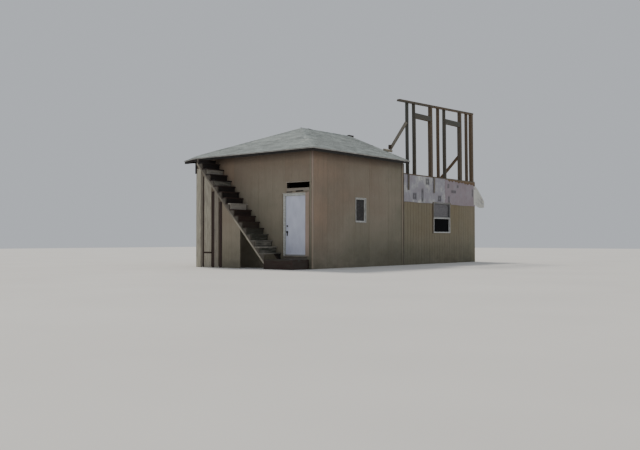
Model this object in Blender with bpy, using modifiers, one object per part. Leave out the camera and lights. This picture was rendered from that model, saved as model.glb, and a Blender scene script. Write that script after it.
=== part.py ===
"""Hip-roofed farm building with an outside wooden stair and an annex whose upper storey is only framed.

World frame, in metres: +X to the right of the entrance front, +Y towards the annex, +Z up. The origin is
on the ground, under the middle of the cross wall that parts the two halves.
"""

import math

import bmesh
import bpy

# Plan of the building
WIDTH = 5.53
MAIN_LENGTH = 5.53
ANNEX_LENGTH = 5.81
WALL = 0.12
SEAT = 0.0003

# Floors and wall tops, above the lowest ground
FLOOR_TOP = 0.42
FLOOR_THICKNESS = 0.14
MAIN_WALL_TOP = 3.90
ANNEX_WALL_TOP = 3.26
DECK_THICKNESS = 0.24

# Main roof
OVERHANG = 0.35
EAVE_RISE = 0.03
PITCH = 0.40
ROOF_THICKNESS = 0.035
RAFTER_DEPTH = 0.10
RAFTER_WIDTH = 0.038
RAFTER_SPACING = 0.60
RAFTER_INSET = 0.10
PLATE_RISE = 0.09
FASCIA_HEIGHT = 0.07
FASCIA_THICKNESS = 0.02
FASCIA_SETBACK = 0.015
RAKE_AT_EAVE = -0.08
RAKE_AT_RIDGE = 0.28

# Entrance door, measured from the near corner along the front, and from the leaf's lower end
DOOR_FROM_CORNER = 0.19
DOOR_OPENING = 1.05
JAMB = 0.075
SILL_TOP = 0.44
SILL_NOSE = 0.03
LEAF_THICKNESS = 0.045
LEAF_HEIGHT = 2.0
LEAF_RECESS = 0.04
HINGE_CLEARANCE = 0.005
LATCH_CLEARANCE = 0.007
STOP_DEPTH = 0.030
STOP_LAP = 0.012
HINGE_OUT = 0.001
BARREL_RADIUS = 0.007
BARREL_LENGTH = 0.10
BARREL_INSET = 0.20
KNOB_BACKSET = 0.07
KNOB_HEIGHT = 0.785
SPINDLE_RADIUS = 0.008
KNOB_RADIUS = 0.026
ROSE_RADIUS = 0.032
ROSE_THICKNESS = 0.008
KNOB_NECK = 0.020
KNOB_FLARE = 0.010
KNOB_FACE = 0.026
KNOB_EDGE = 0.008

# Open slot above the doorway
SLOT_FROM_CORNER = 0.08
SLOT_LENGTH = 1.00
SLOT_OVER_DOORWAY = 0.172
SLOT_HEIGHT = 0.19

# Windows in the right wall: the narrow one from the near corner, the wide one from the cross wall
NARROW_START = 2.43
NARROW_WIDTH = 0.64
NARROW_BOTTOM = 1.58
NARROW_HEIGHT = 0.88
NARROW_STILE = 0.07
NARROW_RAIL = 0.06
WIDE_START = 2.26
WIDE_WIDTH = 1.34
WIDE_BOTTOM = 1.25
WIDE_HEIGHT = 1.24
WIDE_STILE = 0.05
WIDE_RAIL = 0.05
WIDE_MEETING_RAIL = 0.63
WINDOW_PROUD = 0.012
WINDOW_DEPTH = 0.09
GLASS_RECESS = 0.045
GLASS_THICKNESS = 0.006

# House wrap band round the annex, down to the wide window's head, and its loose end
BAND_THICKNESS = 0.010
BAND_START = 0.03
FLAP_REACH = 0.42
FLAP_LAP = 0.14
FLAP_DROP = 0.17
FLAP_RISE = 0.01
FLAP_FALL = 0.62
FLAP_SAG = 0.12
FLAP_OUT = 0.23
FLAP_THICKNESS = 0.006

# Framed upper wall, with lumber of one size; studs 1 to 5 and the top plate's near end are measured
# from the cross wall, and the rest from the back
LUMBER_THIN = 0.038
LUMBER_WIDE = 0.140
STUD_LENGTH = 2.745
TOP_PLATE_START = -0.24
TOP_PLATE_END = 0.10
TOP_PLATE_RISE = 0.21
TOP_PLATE_THICKNESS = 0.076
FRAME_LEAN = -0.045
HEADER_DROP = 0.314
HEADER_DEPTH = 0.20
HEADER_2_RISE = 0.05
STUD_1 = 0.41
STUD_2 = 0.875
STUD_3 = 2.11
STUD_4 = 2.76
STUD_5 = 3.25
STUD_6 = 1.26
STUD_7 = 0.62
STUD_8 = 0.25
STUDS_AT_OPENING_END = 3
STUDS_AT_BACK = 4

# Braces of the framed wall, measured down from its top plate and up from the deck, and boards nailed
# over the wrap, measured from the cross wall and down from the deck
BRACE_DROP = 0.80
BRACE_FOOT_IN = 0.82
CLEAT_LENGTH = 0.46
CLEAT_HEIGHT = 0.09
DECK_BRACE_RISE = 1.12
DECK_BRACE_FOOT_IN = 1.30
SCAB_THICKNESS = 0.03
SCAB_WIDTH = 0.089
SCAB_1 = 0.30
SCAB_1_DROP = 0.60
SCAB_2 = 2.23
SCAB_2_DROP = 0.63
SCAB_HEIGHT = 0.64

# Stair along the front, measured from the near corner; it climbs away from the door
STAIR_WIDTH = 0.85
RISER = 0.212
GOING = 0.199
NOSING_LAP = 0.03
TREAD_DEPTH = 0.25
TREAD_THICKNESS = 0.038
RISER_BOARD = 0.02
RISER_SETBACK = 0.025
STRINGER_THROAT = 0.065
STRINGER_THICKNESS = 0.038
STRINGER_PAST_TREAD = 0.065
STOOP_BEFORE_DOOR = 0.09
STOOP_PAST_DOOR = 0.11
STOOP_TOP = 0.318
STOOP_BOARD = 0.038

# Boards that close the outer side under the stair, each as start and end back from the stringers' top
PANEL_THICKNESS = 0.02
PANEL_START = 2.17
PANEL_END = 1.29
BOARD_1_START = 1.10
BOARD_1_END = 0.90
BOARD_2_START = 0.74
BOARD_2_END = 0.38
BOARD_3_END = 0.20
BOARD_4_END = -0.04
BOARD_4_DROP = 0.36

# Lines that the pieces share
RIGHT = WIDTH / 2
LEFT = -RIGHT
CROSS_FRONT = -WALL / 2
CROSS_BACK = WALL / 2
FRONT = CROSS_BACK - MAIN_LENGTH
BACK = CROSS_BACK + ANNEX_LENGTH
DECK_TOP = ANNEX_WALL_TOP + SEAT + DECK_THICKNESS
PLATE_TOP = DECK_TOP + SEAT + LUMBER_THIN
BAND_BOTTOM = WIDE_BOTTOM + WIDE_HEIGHT
TOP_PLATE_UNDER = PLATE_TOP + STUD_LENGTH
TOP_PLATE_NEAR = CROSS_BACK + TOP_PLATE_START
TOP_PLATE_FAR = BACK - TOP_PLATE_END
HEADER_BOTTOM = TOP_PLATE_UNDER - HEADER_DROP - HEADER_DEPTH
BRACE_TOP = TOP_PLATE_UNDER - BRACE_DROP
DECK_BRACE_TOP = DECK_TOP + DECK_BRACE_RISE
EAVE_UNDERSIDE = MAIN_WALL_TOP + EAVE_RISE
EAVE_RIGHT = RIGHT + OVERHANG
EAVE_FRONT = FRONT - OVERHANG
APEX_Y = EAVE_FRONT + EAVE_RIGHT
STAIR_OUT = FRONT - STAIR_WIDTH
STOOP_START = DOOR_FROM_CORNER - STOOP_BEFORE_DOOR
STOOP_END = DOOR_FROM_CORNER + DOOR_OPENING + STOOP_PAST_DOOR
FIRST_NOSING = STOOP_END - NOSING_LAP
FIRST_TREAD_TOP = STOOP_TOP + RISER
STAIR_CEILING = EAVE_UNDERSIDE - FASCIA_HEIGHT - 2 * SEAT
TREADS = 1 + int((STAIR_CEILING - FIRST_TREAD_TOP) / RISER)
STRINGER_END = FIRST_NOSING + (TREADS - 1) * GOING + TREAD_DEPTH + STRINGER_PAST_TREAD
THROAT_TALL = STRINGER_THROAT * math.hypot(RISER, GOING) / GOING
STRINGER_DROP = TREAD_DEPTH * RISER / GOING + TREAD_THICKNESS + THROAT_TALL

# Colour as sRGB hex, roughness, metallic
BEIGE_SIDING = ("6C655A", 0.85, 0.0)
ANNEX_SIDING = ("5E584A", 0.85, 0.0)
FLOOR_WOOD = ("8A7354", 0.8, 0.0)
SHINGLE = ("8E9698", 0.9, 0.0)
PALE_TRIM = ("A8A59E", 0.7, 0.0)
LUMBER = ("7A6A55", 0.8, 0.0)
WEATHERED = ("5A5348", 0.85, 0.0)
DARK_WOOD = ("2E2822", 0.85, 0.0)
HOUSE_WRAP = ("8C8B90", 0.6, 0.0)
WHITE_DOOR = ("C4C8D0", 0.5, 0.0)
WHITE_FRAME = ("D2D3D2", 0.45, 0.0)
DARK_GLASS = ("202224", 0.1, 0.0)
LOCK_METAL = ("55504A", 0.35, 1.0)


def front_x(from_corner):
    """X of a point of the front, from its distance to the near corner."""
    return RIGHT - from_corner


def side_y(from_corner):
    """Y of a point of the main half's right side, from its distance to the near corner."""
    return FRONT + from_corner


def annex_y(from_cross_wall):
    """Y of a point of the annex's right side, from its distance to the cross wall."""
    return CROSS_BACK + from_cross_wall


def back_y(from_back):
    """Y of a point of the annex's right side, from its distance to the back."""
    return BACK - from_back


def new_collection(name):
    collection = bpy.data.collections.new(name)
    bpy.context.scene.collection.children.link(collection)
    return collection


def linear(hex_pair):
    value = int(hex_pair, 16) / 255
    return value / 12.92 if value <= 0.04045 else ((value + 0.055) / 1.055) ** 2.4


def finish(obj, look):
    """Gives the object a material of its own."""
    colour, roughness, metallic = look
    material = bpy.data.materials.new(obj.name)
    material.use_nodes = True
    shader = material.node_tree.nodes["Principled BSDF"]
    rgb = [linear(colour[i : i + 2]) for i in (0, 2, 4)]
    shader.inputs["Base Color"].default_value = (*rgb, 1)
    shader.inputs["Roughness"].default_value = roughness
    shader.inputs["Metallic"].default_value = metallic
    obj.data.materials.append(material)


def add(name, data, look):
    """Links a new object to the building, or to the cutters if it has no look of its own."""
    obj = bpy.data.objects.new(name, data)
    if look:
        building.objects.link(obj)
        finish(obj, look)
    else:
        cutters.objects.link(obj)
        obj.hide_render = True
        obj.display_type = "WIRE"
    return obj


def box(name, x, y, z, look=None):
    """A plain box from its low and high x, y and z."""
    shape = bmesh.new()
    bmesh.ops.create_cube(shape, size=1)
    bmesh.ops.scale(shape, vec=(x[1] - x[0], y[1] - y[0], z[1] - z[0]), verts=shape.verts)
    mesh = bpy.data.meshes.new(name)
    shape.to_mesh(mesh)
    shape.free()
    obj = add(name, mesh, look)
    obj.location = [(low + high) / 2 for low, high in (x, y, z)]
    return obj


def cylinder(name, radius, length, sides, look=None):
    """An upright cylinder about its own middle."""
    shape = bmesh.new()
    bmesh.ops.create_cone(
        shape, cap_ends=True, segments=sides, radius1=radius, radius2=radius, depth=length
    )
    mesh = bpy.data.meshes.new(name)
    shape.to_mesh(mesh)
    shape.free()
    return add(name, mesh, look)


def outline(name, loops, along, start, end, look=None):
    """A flat outline carried from start to end along X, Y or Z. Later loops are holes in the first.

    Points are (y, z) along X, (x, z) along Y and (x, y) along Z.
    """
    turn = {"X": (math.pi / 2, 0, math.pi / 2), "Y": (math.pi / 2, 0, 0), "Z": (0, 0, 0)}[along]
    curve = bpy.data.curves.new(name, "CURVE")
    curve.dimensions = "2D"
    curve.fill_mode = "BOTH"
    curve.extrude = (end - start) / 2
    for loop in loops:
        spline = curve.splines.new("POLY")
        spline.points.add(len(loop) - 1)
        for point, (across, up) in zip(spline.points, loop):
            point.co = (across, up, 0, 1)
        spline.use_cyclic_u = True
    middle = (start + end) / 2
    guide = bpy.data.objects.new(name + "_outline", curve)
    cutters.objects.link(guide)
    guide.rotation_euler = turn
    guide.location["XYZ".index(along)] = middle
    bpy.context.view_layer.update()
    mesh = bpy.data.meshes.new_from_object(guide.evaluated_get(bpy.context.evaluated_depsgraph_get()))
    shape = bmesh.new()
    shape.from_mesh(mesh)
    bmesh.ops.remove_doubles(shape, verts=shape.verts, dist=0.00001)
    bmesh.ops.recalc_face_normals(shape, faces=shape.faces)
    shape.to_mesh(mesh)
    shape.free()
    obj = add(name, mesh, look)
    obj.matrix_world = guide.matrix_world
    bpy.data.objects.remove(guide)
    return obj


def combine(obj, other, operation):
    modifier = obj.modifiers.new(other.name, "BOOLEAN")
    modifier.operation = operation
    modifier.object = other


def cut(obj, other):
    combine(obj, other, "DIFFERENCE")


def join(obj, other):
    combine(obj, other, "UNION")


def repeat(obj, count, step):
    modifier = obj.modifiers.new("row", "ARRAY")
    modifier.count = count
    modifier.use_relative_offset = False
    modifier.use_constant_offset = True
    modifier.constant_offset_displace = step


def rectangle(low, high):
    return [(low[0], low[1]), (high[0], low[1]), (high[0], high[1]), (low[0], high[1])]


def main_walls():
    """The walls of the hip-roofed half. The front wall is split beside and over the doorway."""
    opening_right = front_x(DOOR_FROM_CORNER)
    opening_left = front_x(DOOR_FROM_CORNER + DOOR_OPENING)
    inside = FRONT + WALL + SEAT
    front_y = (FRONT, FRONT + WALL)
    box("front_wall_left", (LEFT, opening_left), front_y, (0, MAIN_WALL_TOP), BEIGE_SIDING)
    box("front_wall_right", (opening_right, RIGHT), front_y, (0, DOOR_TOP - SEAT), BEIGE_SIDING)
    over = box(
        "front_wall_over_door",
        (opening_left + SEAT, RIGHT),
        front_y,
        (DOOR_TOP, MAIN_WALL_TOP),
        BEIGE_SIDING,
    )
    slot = box(
        "slot_cutter",
        (front_x(SLOT_FROM_CORNER + SLOT_LENGTH), front_x(SLOT_FROM_CORNER)),
        (FRONT - WALL, FRONT + 2 * WALL),
        (DOOR_TOP + SLOT_OVER_DOORWAY, DOOR_TOP + SLOT_OVER_DOORWAY + SLOT_HEIGHT),
    )
    cut(over, slot)
    side = (inside, CROSS_FRONT - SEAT)
    right = box("right_wall_main", (RIGHT - WALL, RIGHT), side, (0, MAIN_WALL_TOP), BEIGE_SIDING)
    cut(right, window_cutter("narrow", side_y(NARROW_START), NARROW_WIDTH, NARROW_BOTTOM, NARROW_HEIGHT))
    box("left_wall_main", (LEFT, LEFT + WALL), side, (0, MAIN_WALL_TOP), BEIGE_SIDING)
    eave_line = roof_underside(OVERHANG) - SEAT
    peak = roof_underside(EAVE_RIGHT) - SEAT
    gable = [(LEFT, 0), (RIGHT, 0), (RIGHT, eave_line), (0, peak), (LEFT, eave_line)]
    outline("cross_wall", [gable], "Y", CROSS_FRONT, CROSS_BACK, BEIGE_SIDING)


def annex_walls():
    side = (CROSS_BACK + SEAT, BACK - WALL - SEAT)
    height = (0, ANNEX_WALL_TOP)
    right = box("right_wall_annex", (RIGHT - WALL, RIGHT), side, height, ANNEX_SIDING)
    cut(right, window_cutter("wide", annex_y(WIDE_START), WIDE_WIDTH, WIDE_BOTTOM, WIDE_HEIGHT))
    box("left_wall_annex", (LEFT, LEFT + WALL), side, height, ANNEX_SIDING)
    box("back_wall_annex", (LEFT, RIGHT), (BACK - WALL, BACK), height, ANNEX_SIDING)


def window_cutter(name, start, width, bottom, height):
    y = (start, start + width)
    z = (bottom, bottom + height)
    return box(name + "_window_cutter", (RIGHT - 2 * WALL, RIGHT + WALL), y, z)


def floors():
    """The two ground floors between the walls, and the deck that lies on the annex's walls."""
    across = (LEFT + WALL + SEAT, RIGHT - WALL - SEAT)
    up = (FLOOR_TOP - FLOOR_THICKNESS, FLOOR_TOP)
    box("main_floor", across, (FRONT + WALL + SEAT, CROSS_FRONT - SEAT), up, FLOOR_WOOD)
    box("annex_floor", across, (CROSS_BACK + SEAT, BACK - WALL - SEAT), up, FLOOR_WOOD)
    deck_z = (ANNEX_WALL_TOP + SEAT, DECK_TOP)
    box("upper_deck", (LEFT, RIGHT), (CROSS_BACK + SEAT, BACK), deck_z, FLOOR_WOOD)


def roof_underside(from_eave):
    return EAVE_UNDERSIDE + PITCH * from_eave


def roof_layer(name, corners, top, thickness, look=None):
    """A layer of the roof with upright edges: its plan corners carry their distance in from the eave."""
    shape = bmesh.new()
    verts = [shape.verts.new((x, y, roof_underside(inward) + top)) for x, y, inward in corners]
    face = shape.faces.new(verts)
    below = bmesh.ops.extrude_face_region(shape, geom=[face])["geom"]
    moved = [v for v in below if isinstance(v, bmesh.types.BMVert)]
    bmesh.ops.translate(shape, vec=(0, 0, -thickness), verts=moved)
    bmesh.ops.recalc_face_normals(shape, faces=shape.faces)
    mesh = bpy.data.meshes.new(name)
    shape.to_mesh(mesh)
    shape.free()
    return add(name, mesh, look)


def front_slope(setback, gap):
    """Plan corners of the front slope, set back from the eave and moved clear of the side slopes."""
    reach = EAVE_RIGHT - setback
    low = EAVE_FRONT + setback - gap
    return [(-reach, low, setback), (reach, low, setback), (0, APEX_Y - gap, EAVE_RIGHT)]


def side_slope(setback, gap, eave_end, ridge_end):
    """Plan corners of the right slope; the left one is its mirror image."""
    reach = EAVE_RIGHT - setback
    return [
        (reach + gap, EAVE_FRONT + setback, setback),
        (reach + gap, eave_end, setback),
        (gap, ridge_end, EAVE_RIGHT),
        (gap, APEX_Y, EAVE_RIGHT),
    ]


def mirrored(corners):
    return [(-x, y, inward) for x, y, inward in corners]


def roof():
    """Three slopes, the rafters under them on their wall plates, and the fascia boards."""
    top = ROOF_THICKNESS
    thickness = ROOF_THICKNESS
    right = side_slope(0, SEAT, CROSS_BACK + RAKE_AT_EAVE, CROSS_BACK + RAKE_AT_RIDGE)
    roof_layer("roof_front", front_slope(0, SEAT), top, thickness, SHINGLE)
    roof_layer("roof_right", right, top, thickness, SHINGLE)
    roof_layer("roof_left", mirrored(right), top, thickness, SHINGLE)

    inset = FASCIA_SETBACK + FASCIA_THICKNESS + 4 * SEAT
    run = CROSS_FRONT - SEAT
    tail = EAVE_RIGHT - inset
    plank_z = (roof_underside(0) - 2 * RAFTER_DEPTH, roof_underside(EAVE_RIGHT))
    plate_z = (MAIN_WALL_TOP + SEAT, MAIN_WALL_TOP + PLATE_RISE)
    first = FRONT + WALL + RAFTER_INSET
    count = 1 + int((run - RAFTER_INSET - RAFTER_WIDTH - first) / RAFTER_SPACING)
    layer = side_slope(inset, 2 * SEAT, run, run)
    for side, sign, corners in (("right", 1, layer), ("left", -1, mirrored(layer))):
        x = sorted((0, sign * (tail + WALL)))
        rafters = box("rafters_" + side, x, (first, first + RAFTER_WIDTH), plank_z, LUMBER)
        repeat(rafters, count, (0, RAFTER_SPACING, 0))
        combine(rafters, roof_layer(side + "_rafter_layer", corners, -SEAT, RAFTER_DEPTH), "INTERSECT")
        plate_x = sorted((sign * (RIGHT - WALL), sign * RIGHT))
        join(rafters, box(side + "_wall_plate", plate_x, (FRONT + WALL + SEAT, run), plate_z))

    first = LEFT + WALL + RAFTER_INSET
    count = 1 + int((WIDTH - 2 * (WALL + RAFTER_INSET) - RAFTER_WIDTH) / RAFTER_SPACING)
    plank_y = (EAVE_FRONT - WALL, APEX_Y)
    rafters = box("rafters_front", (first, first + RAFTER_WIDTH), plank_y, plank_z, LUMBER)
    repeat(rafters, count, (RAFTER_SPACING, 0, 0))
    layer = roof_layer("front_rafter_layer", front_slope(inset, 2 * SEAT), -SEAT, RAFTER_DEPTH)
    combine(rafters, layer, "INTERSECT")
    join(rafters, box("front_wall_plate", (LEFT, RIGHT), (FRONT, FRONT + WALL), plate_z))

    outer = EAVE_RIGHT - FASCIA_SETBACK
    inner = outer - FASCIA_THICKNESS
    near = EAVE_FRONT + FASCIA_SETBACK
    end = CROSS_BACK + RAKE_AT_EAVE - FASCIA_SETBACK
    boards = [
        (-outer, near),
        (outer, near),
        (outer, end),
        (inner, end),
        (inner, near + FASCIA_THICKNESS),
        (-inner, near + FASCIA_THICKNESS),
        (-inner, end),
        (-outer, end),
    ]
    edge = roof_underside(0) - SEAT
    outline("fascia", [boards], "Z", edge - FASCIA_HEIGHT, edge, PALE_TRIM)


def window(name, start, width, bottom, height, stile, rail, meeting_rail=None):
    """A frame in its wall opening, with a meeting rail where the window has two sashes, and its glass."""
    low = (start + SEAT, bottom + SEAT)
    high = (start + width - SEAT, bottom + height - SEAT)
    lights = [((low[0] + stile, low[1] + rail), (high[0] - stile, high[1] - rail))]
    labels = ["_glass"]
    if meeting_rail:
        lower, upper = bottom + meeting_rail - rail / 2, bottom + meeting_rail + rail / 2
        lights = [
            (lights[0][0], (lights[0][1][0], lower)),
            ((lights[0][0][0], upper), lights[0][1]),
        ]
        labels = ["_glass_lower", "_glass_upper"]
    holes = [rectangle(*light) for light in lights]
    outer_face = RIGHT + WINDOW_PROUD
    frame_start = outer_face - WINDOW_DEPTH
    outline(name + "_frame", [rectangle(low, high), *holes], "X", frame_start, outer_face, WHITE_FRAME)
    glass_x = (RIGHT - GLASS_RECESS - GLASS_THICKNESS, RIGHT - GLASS_RECESS)
    for label, (corner, far) in zip(labels, lights):
        y = (corner[0] + SEAT, far[0] - SEAT)
        z = (corner[1] + SEAT, far[1] - SEAT)
        box(name + label, glass_x, y, z, DARK_GLASS)


DOOR_RIGHT = front_x(DOOR_FROM_CORNER) - SEAT
DOOR_LEFT = front_x(DOOR_FROM_CORNER + DOOR_OPENING) + SEAT
LEAF_BOTTOM = SILL_TOP + HINGE_CLEARANCE
LEAF_TOP = LEAF_BOTTOM + LEAF_HEIGHT
DOOR_TOP = LEAF_TOP + LATCH_CLEARANCE + JAMB + 2 * SEAT


def door():
    """The sill, the frame with its stop, and the leaf with its knob, which turn inwards on the hinge."""
    inner_right = DOOR_RIGHT - JAMB
    inner_left = DOOR_LEFT + JAMB
    inner_top = LEAF_TOP + LATCH_CLEARANCE
    foot = SILL_TOP + SEAT
    sill_y = (FRONT - SILL_NOSE, FRONT + WALL)
    box("door_sill", (DOOR_LEFT, DOOR_RIGHT), sill_y, (0, SILL_TOP), WEATHERED)

    def arch(lap):
        return [
            (DOOR_LEFT, foot),
            (inner_left + lap, foot),
            (inner_left + lap, inner_top - lap),
            (inner_right - lap, inner_top - lap),
            (inner_right - lap, foot),
            (DOOR_RIGHT, foot),
            (DOOR_RIGHT, inner_top + JAMB),
            (DOOR_LEFT, inner_top + JAMB),
        ]

    frame = outline("door_frame", [arch(0)], "Y", FRONT, FRONT + WALL, WHITE_FRAME)
    stop_front = FRONT + LEAF_RECESS - HINGE_CLEARANCE - STOP_DEPTH
    join(frame, outline("door_stop", [arch(STOP_LAP)], "Y", stop_front, stop_front + STOP_DEPTH))

    leaf_right = inner_right - HINGE_CLEARANCE
    leaf_left = inner_left + LATCH_CLEARANCE
    leaf_back = FRONT + LEAF_RECESS + LEAF_THICKNESS
    hinge = bpy.data.objects.new("door_hinge", None)
    building.objects.link(hinge)
    hinge.location = (leaf_right + HINGE_OUT, leaf_back + BARREL_RADIUS + 2 * SEAT, LEAF_BOTTOM)
    for height in (BARREL_INSET, LEAF_HEIGHT / 2, LEAF_HEIGHT - BARREL_INSET):
        barrel = cylinder("hinge_barrel", BARREL_RADIUS, BARREL_LENGTH, 12)
        barrel.location = (hinge.location.x, hinge.location.y, LEAF_BOTTOM + height)
        join(frame, barrel)
    leaf = box(
        "door_leaf",
        (leaf_left, leaf_right),
        (leaf_back - LEAF_THICKNESS, leaf_back),
        (LEAF_BOTTOM, LEAF_TOP),
        WHITE_DOOR,
    )
    middle = leaf_back - LEAF_THICKNESS / 2
    place = (leaf_left + KNOB_BACKSET, middle, LEAF_BOTTOM + KNOB_HEIGHT)
    knob = door_knob(place)
    bore = cylinder("spindle_bore", SPINDLE_RADIUS + 2 * SEAT, 2 * LEAF_THICKNESS, 16)
    bore.location = place
    bore.rotation_euler = (math.pi / 2, 0, 0)
    cut(leaf, bore)
    for piece in (leaf, knob, bore):
        piece.parent = hinge
        piece.location = [here - there for here, there in zip(piece.location, hinge.location)]


def door_knob(place):
    """Both knobs, their roses and the spindle between them, turned about the spindle."""
    face = LEAF_THICKNESS / 2 + SEAT
    rose = face + ROSE_THICKNESS
    neck = rose + KNOB_NECK
    shoulder = neck + KNOB_FLARE
    end = shoulder + KNOB_FACE
    half = [
        (0, end),
        (KNOB_RADIUS * 0.7, end),
        (KNOB_RADIUS, end - KNOB_EDGE),
        (KNOB_RADIUS, shoulder),
        (SPINDLE_RADIUS * 1.5, neck),
        (SPINDLE_RADIUS * 1.5, rose),
        (ROSE_RADIUS, rose),
        (ROSE_RADIUS, face),
        (SPINDLE_RADIUS, face),
    ]
    points = half + [(radius, -height) for radius, height in reversed(half)]
    mesh = bpy.data.meshes.new("door_knob")
    edges = [(i, i + 1) for i in range(len(points) - 1)]
    mesh.from_pydata([(radius, 0, height) for radius, height in points], edges, [])
    knob = add("door_knob", mesh, LOCK_METAL)
    turn = knob.modifiers.new("turned", "SCREW")
    turn.steps = turn.render_steps = 16
    turn.use_merge_vertices = True
    turn.merge_threshold = 0.0001
    knob.location = place
    knob.rotation_euler = (math.pi / 2, 0, 0)
    return knob


def wrap_band():
    """The band of house wrap on the annex's three outer sides, and its loose end at the back corner."""
    inner = RIGHT + SEAT
    outer = inner + BAND_THICKNESS
    inner_back, outer_back = BACK + SEAT, BACK + SEAT + BAND_THICKNESS
    start = CROSS_BACK + BAND_START
    plan = [
        (outer, start),
        (outer, outer_back),
        (-outer, outer_back),
        (-outer, start),
        (-inner, start),
        (-inner, inner_back),
        (inner, inner_back),
        (inner, start),
    ]
    outline("wrap_band", [plan], "Z", BAND_BOTTOM, DECK_TOP, HOUSE_WRAP)

    shape = bmesh.new()
    half = 0.5
    bmesh.ops.create_grid(shape, x_segments=12, y_segments=8, size=half)
    face = outer + SEAT + FLAP_THICKNESS / 2
    lap = FLAP_LAP / (FLAP_LAP + FLAP_REACH)
    for vert in shape.verts:
        out, up = vert.co.x + half, vert.co.y + half
        free = max(0.0, out - lap) / (1 - lap)
        high = DECK_TOP - FLAP_DROP - FLAP_FALL * free**1.6
        low = BAND_BOTTOM + FLAP_RISE - FLAP_SAG * math.sin(0.7 * math.pi * free)
        vert.co.x = face + FLAP_OUT * free**1.5
        vert.co.y = outer_back - FLAP_LAP + (FLAP_LAP + FLAP_REACH) * out
        vert.co.z = low + (high - low) * up
    mesh = bpy.data.meshes.new("wrap_flap")
    shape.to_mesh(mesh)
    shape.free()
    flap = add("wrap_flap", mesh, HOUSE_WRAP)
    sheet = flap.modifiers.new("sheet", "SOLIDIFY")
    sheet.thickness = FLAP_THICKNESS
    sheet.offset = 0


def plate_height(y):
    """Underside of the framed wall's top plate, which runs uphill towards the back."""
    run = TOP_PLATE_FAR - TOP_PLATE_NEAR
    return TOP_PLATE_UNDER + TOP_PLATE_RISE * (y - TOP_PLATE_NEAR) / run


def leaned(height):
    """How far the framed wall has racked at this height."""
    return FRAME_LEAN * (height - PLATE_TOP) / STUD_LENGTH


def stud(name, low, pieces=1, jack=0, header=HEADER_BOTTOM):
    """Full-height studs side by side; a jack of -1 or 1 adds one up to the header before or after them."""
    x = (RIGHT - LUMBER_WIDE, RIGHT)
    foot = PLATE_TOP + SEAT
    high = low + pieces * LUMBER_THIN
    rise = header - SEAT

    def point(y, z):
        return (y + leaned(z), z)

    def head(y):
        return point(y, plate_height(y + FRAME_LEAN) - SEAT)

    points = [point(low, foot), point(high, foot), head(high), head(low)]
    if jack > 0:
        wide = high + LUMBER_THIN
        points = [point(low, foot), point(wide, foot), point(wide, rise), point(high, rise)]
        points += [head(high), head(low)]
    elif jack < 0:
        wide = low - LUMBER_THIN
        points = [point(wide, foot), point(high, foot), head(high), head(low)]
        points += [point(low, rise), point(wide, rise)]
    outline(name, [points], "X", *x, LUMBER)
    return low + leaned(rise), high + leaned(rise)


def framed_wall():
    x = (RIGHT - LUMBER_WIDE, RIGHT)
    box("bottom_plate", x, (CROSS_BACK + BAND_START, BACK), (DECK_TOP + SEAT, PLATE_TOP), LUMBER)
    stud("stud_1", annex_y(STUD_1) - LUMBER_THIN / 2)
    _, first_left = stud("stud_2", annex_y(STUD_2), 1, 1)
    first_right, _ = stud("stud_3", annex_y(STUD_3), STUDS_AT_OPENING_END, -1)
    stud("stud_4", annex_y(STUD_4) - LUMBER_THIN / 2)
    second_bottom = HEADER_BOTTOM + HEADER_2_RISE
    _, second_left = stud("stud_5", annex_y(STUD_5), 1, 1, second_bottom)
    second_right, _ = stud("stud_6", back_y(STUD_6), STUDS_AT_OPENING_END, -1, second_bottom)
    stud("stud_7", back_y(STUD_7) - LUMBER_THIN / 2)
    stud("stud_8", back_y(STUD_8), STUDS_AT_BACK)
    for name, low, high, bottom in (
        ("header_1", first_left, first_right, HEADER_BOTTOM),
        ("header_2", second_left, second_right, second_bottom),
    ):
        top = bottom + HEADER_DEPTH
        lean = leaned(top) - leaned(bottom)
        low, high = low + SEAT, high - SEAT
        points = [(low, bottom), (high, bottom), (high + lean, top), (low + lean, top)]
        outline(name, [points], "X", *x, LUMBER)

    low, high = TOP_PLATE_NEAR, TOP_PLATE_FAR
    under_low, under_high = plate_height(low), plate_height(high)
    upper_low, upper_high = under_low + TOP_PLATE_THICKNESS, under_high + TOP_PLATE_THICKNESS
    points = [(low, under_low), (high, under_high), (high, upper_high), (low, upper_low)]
    outline("top_plate", [points], "X", *x, LUMBER)


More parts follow.
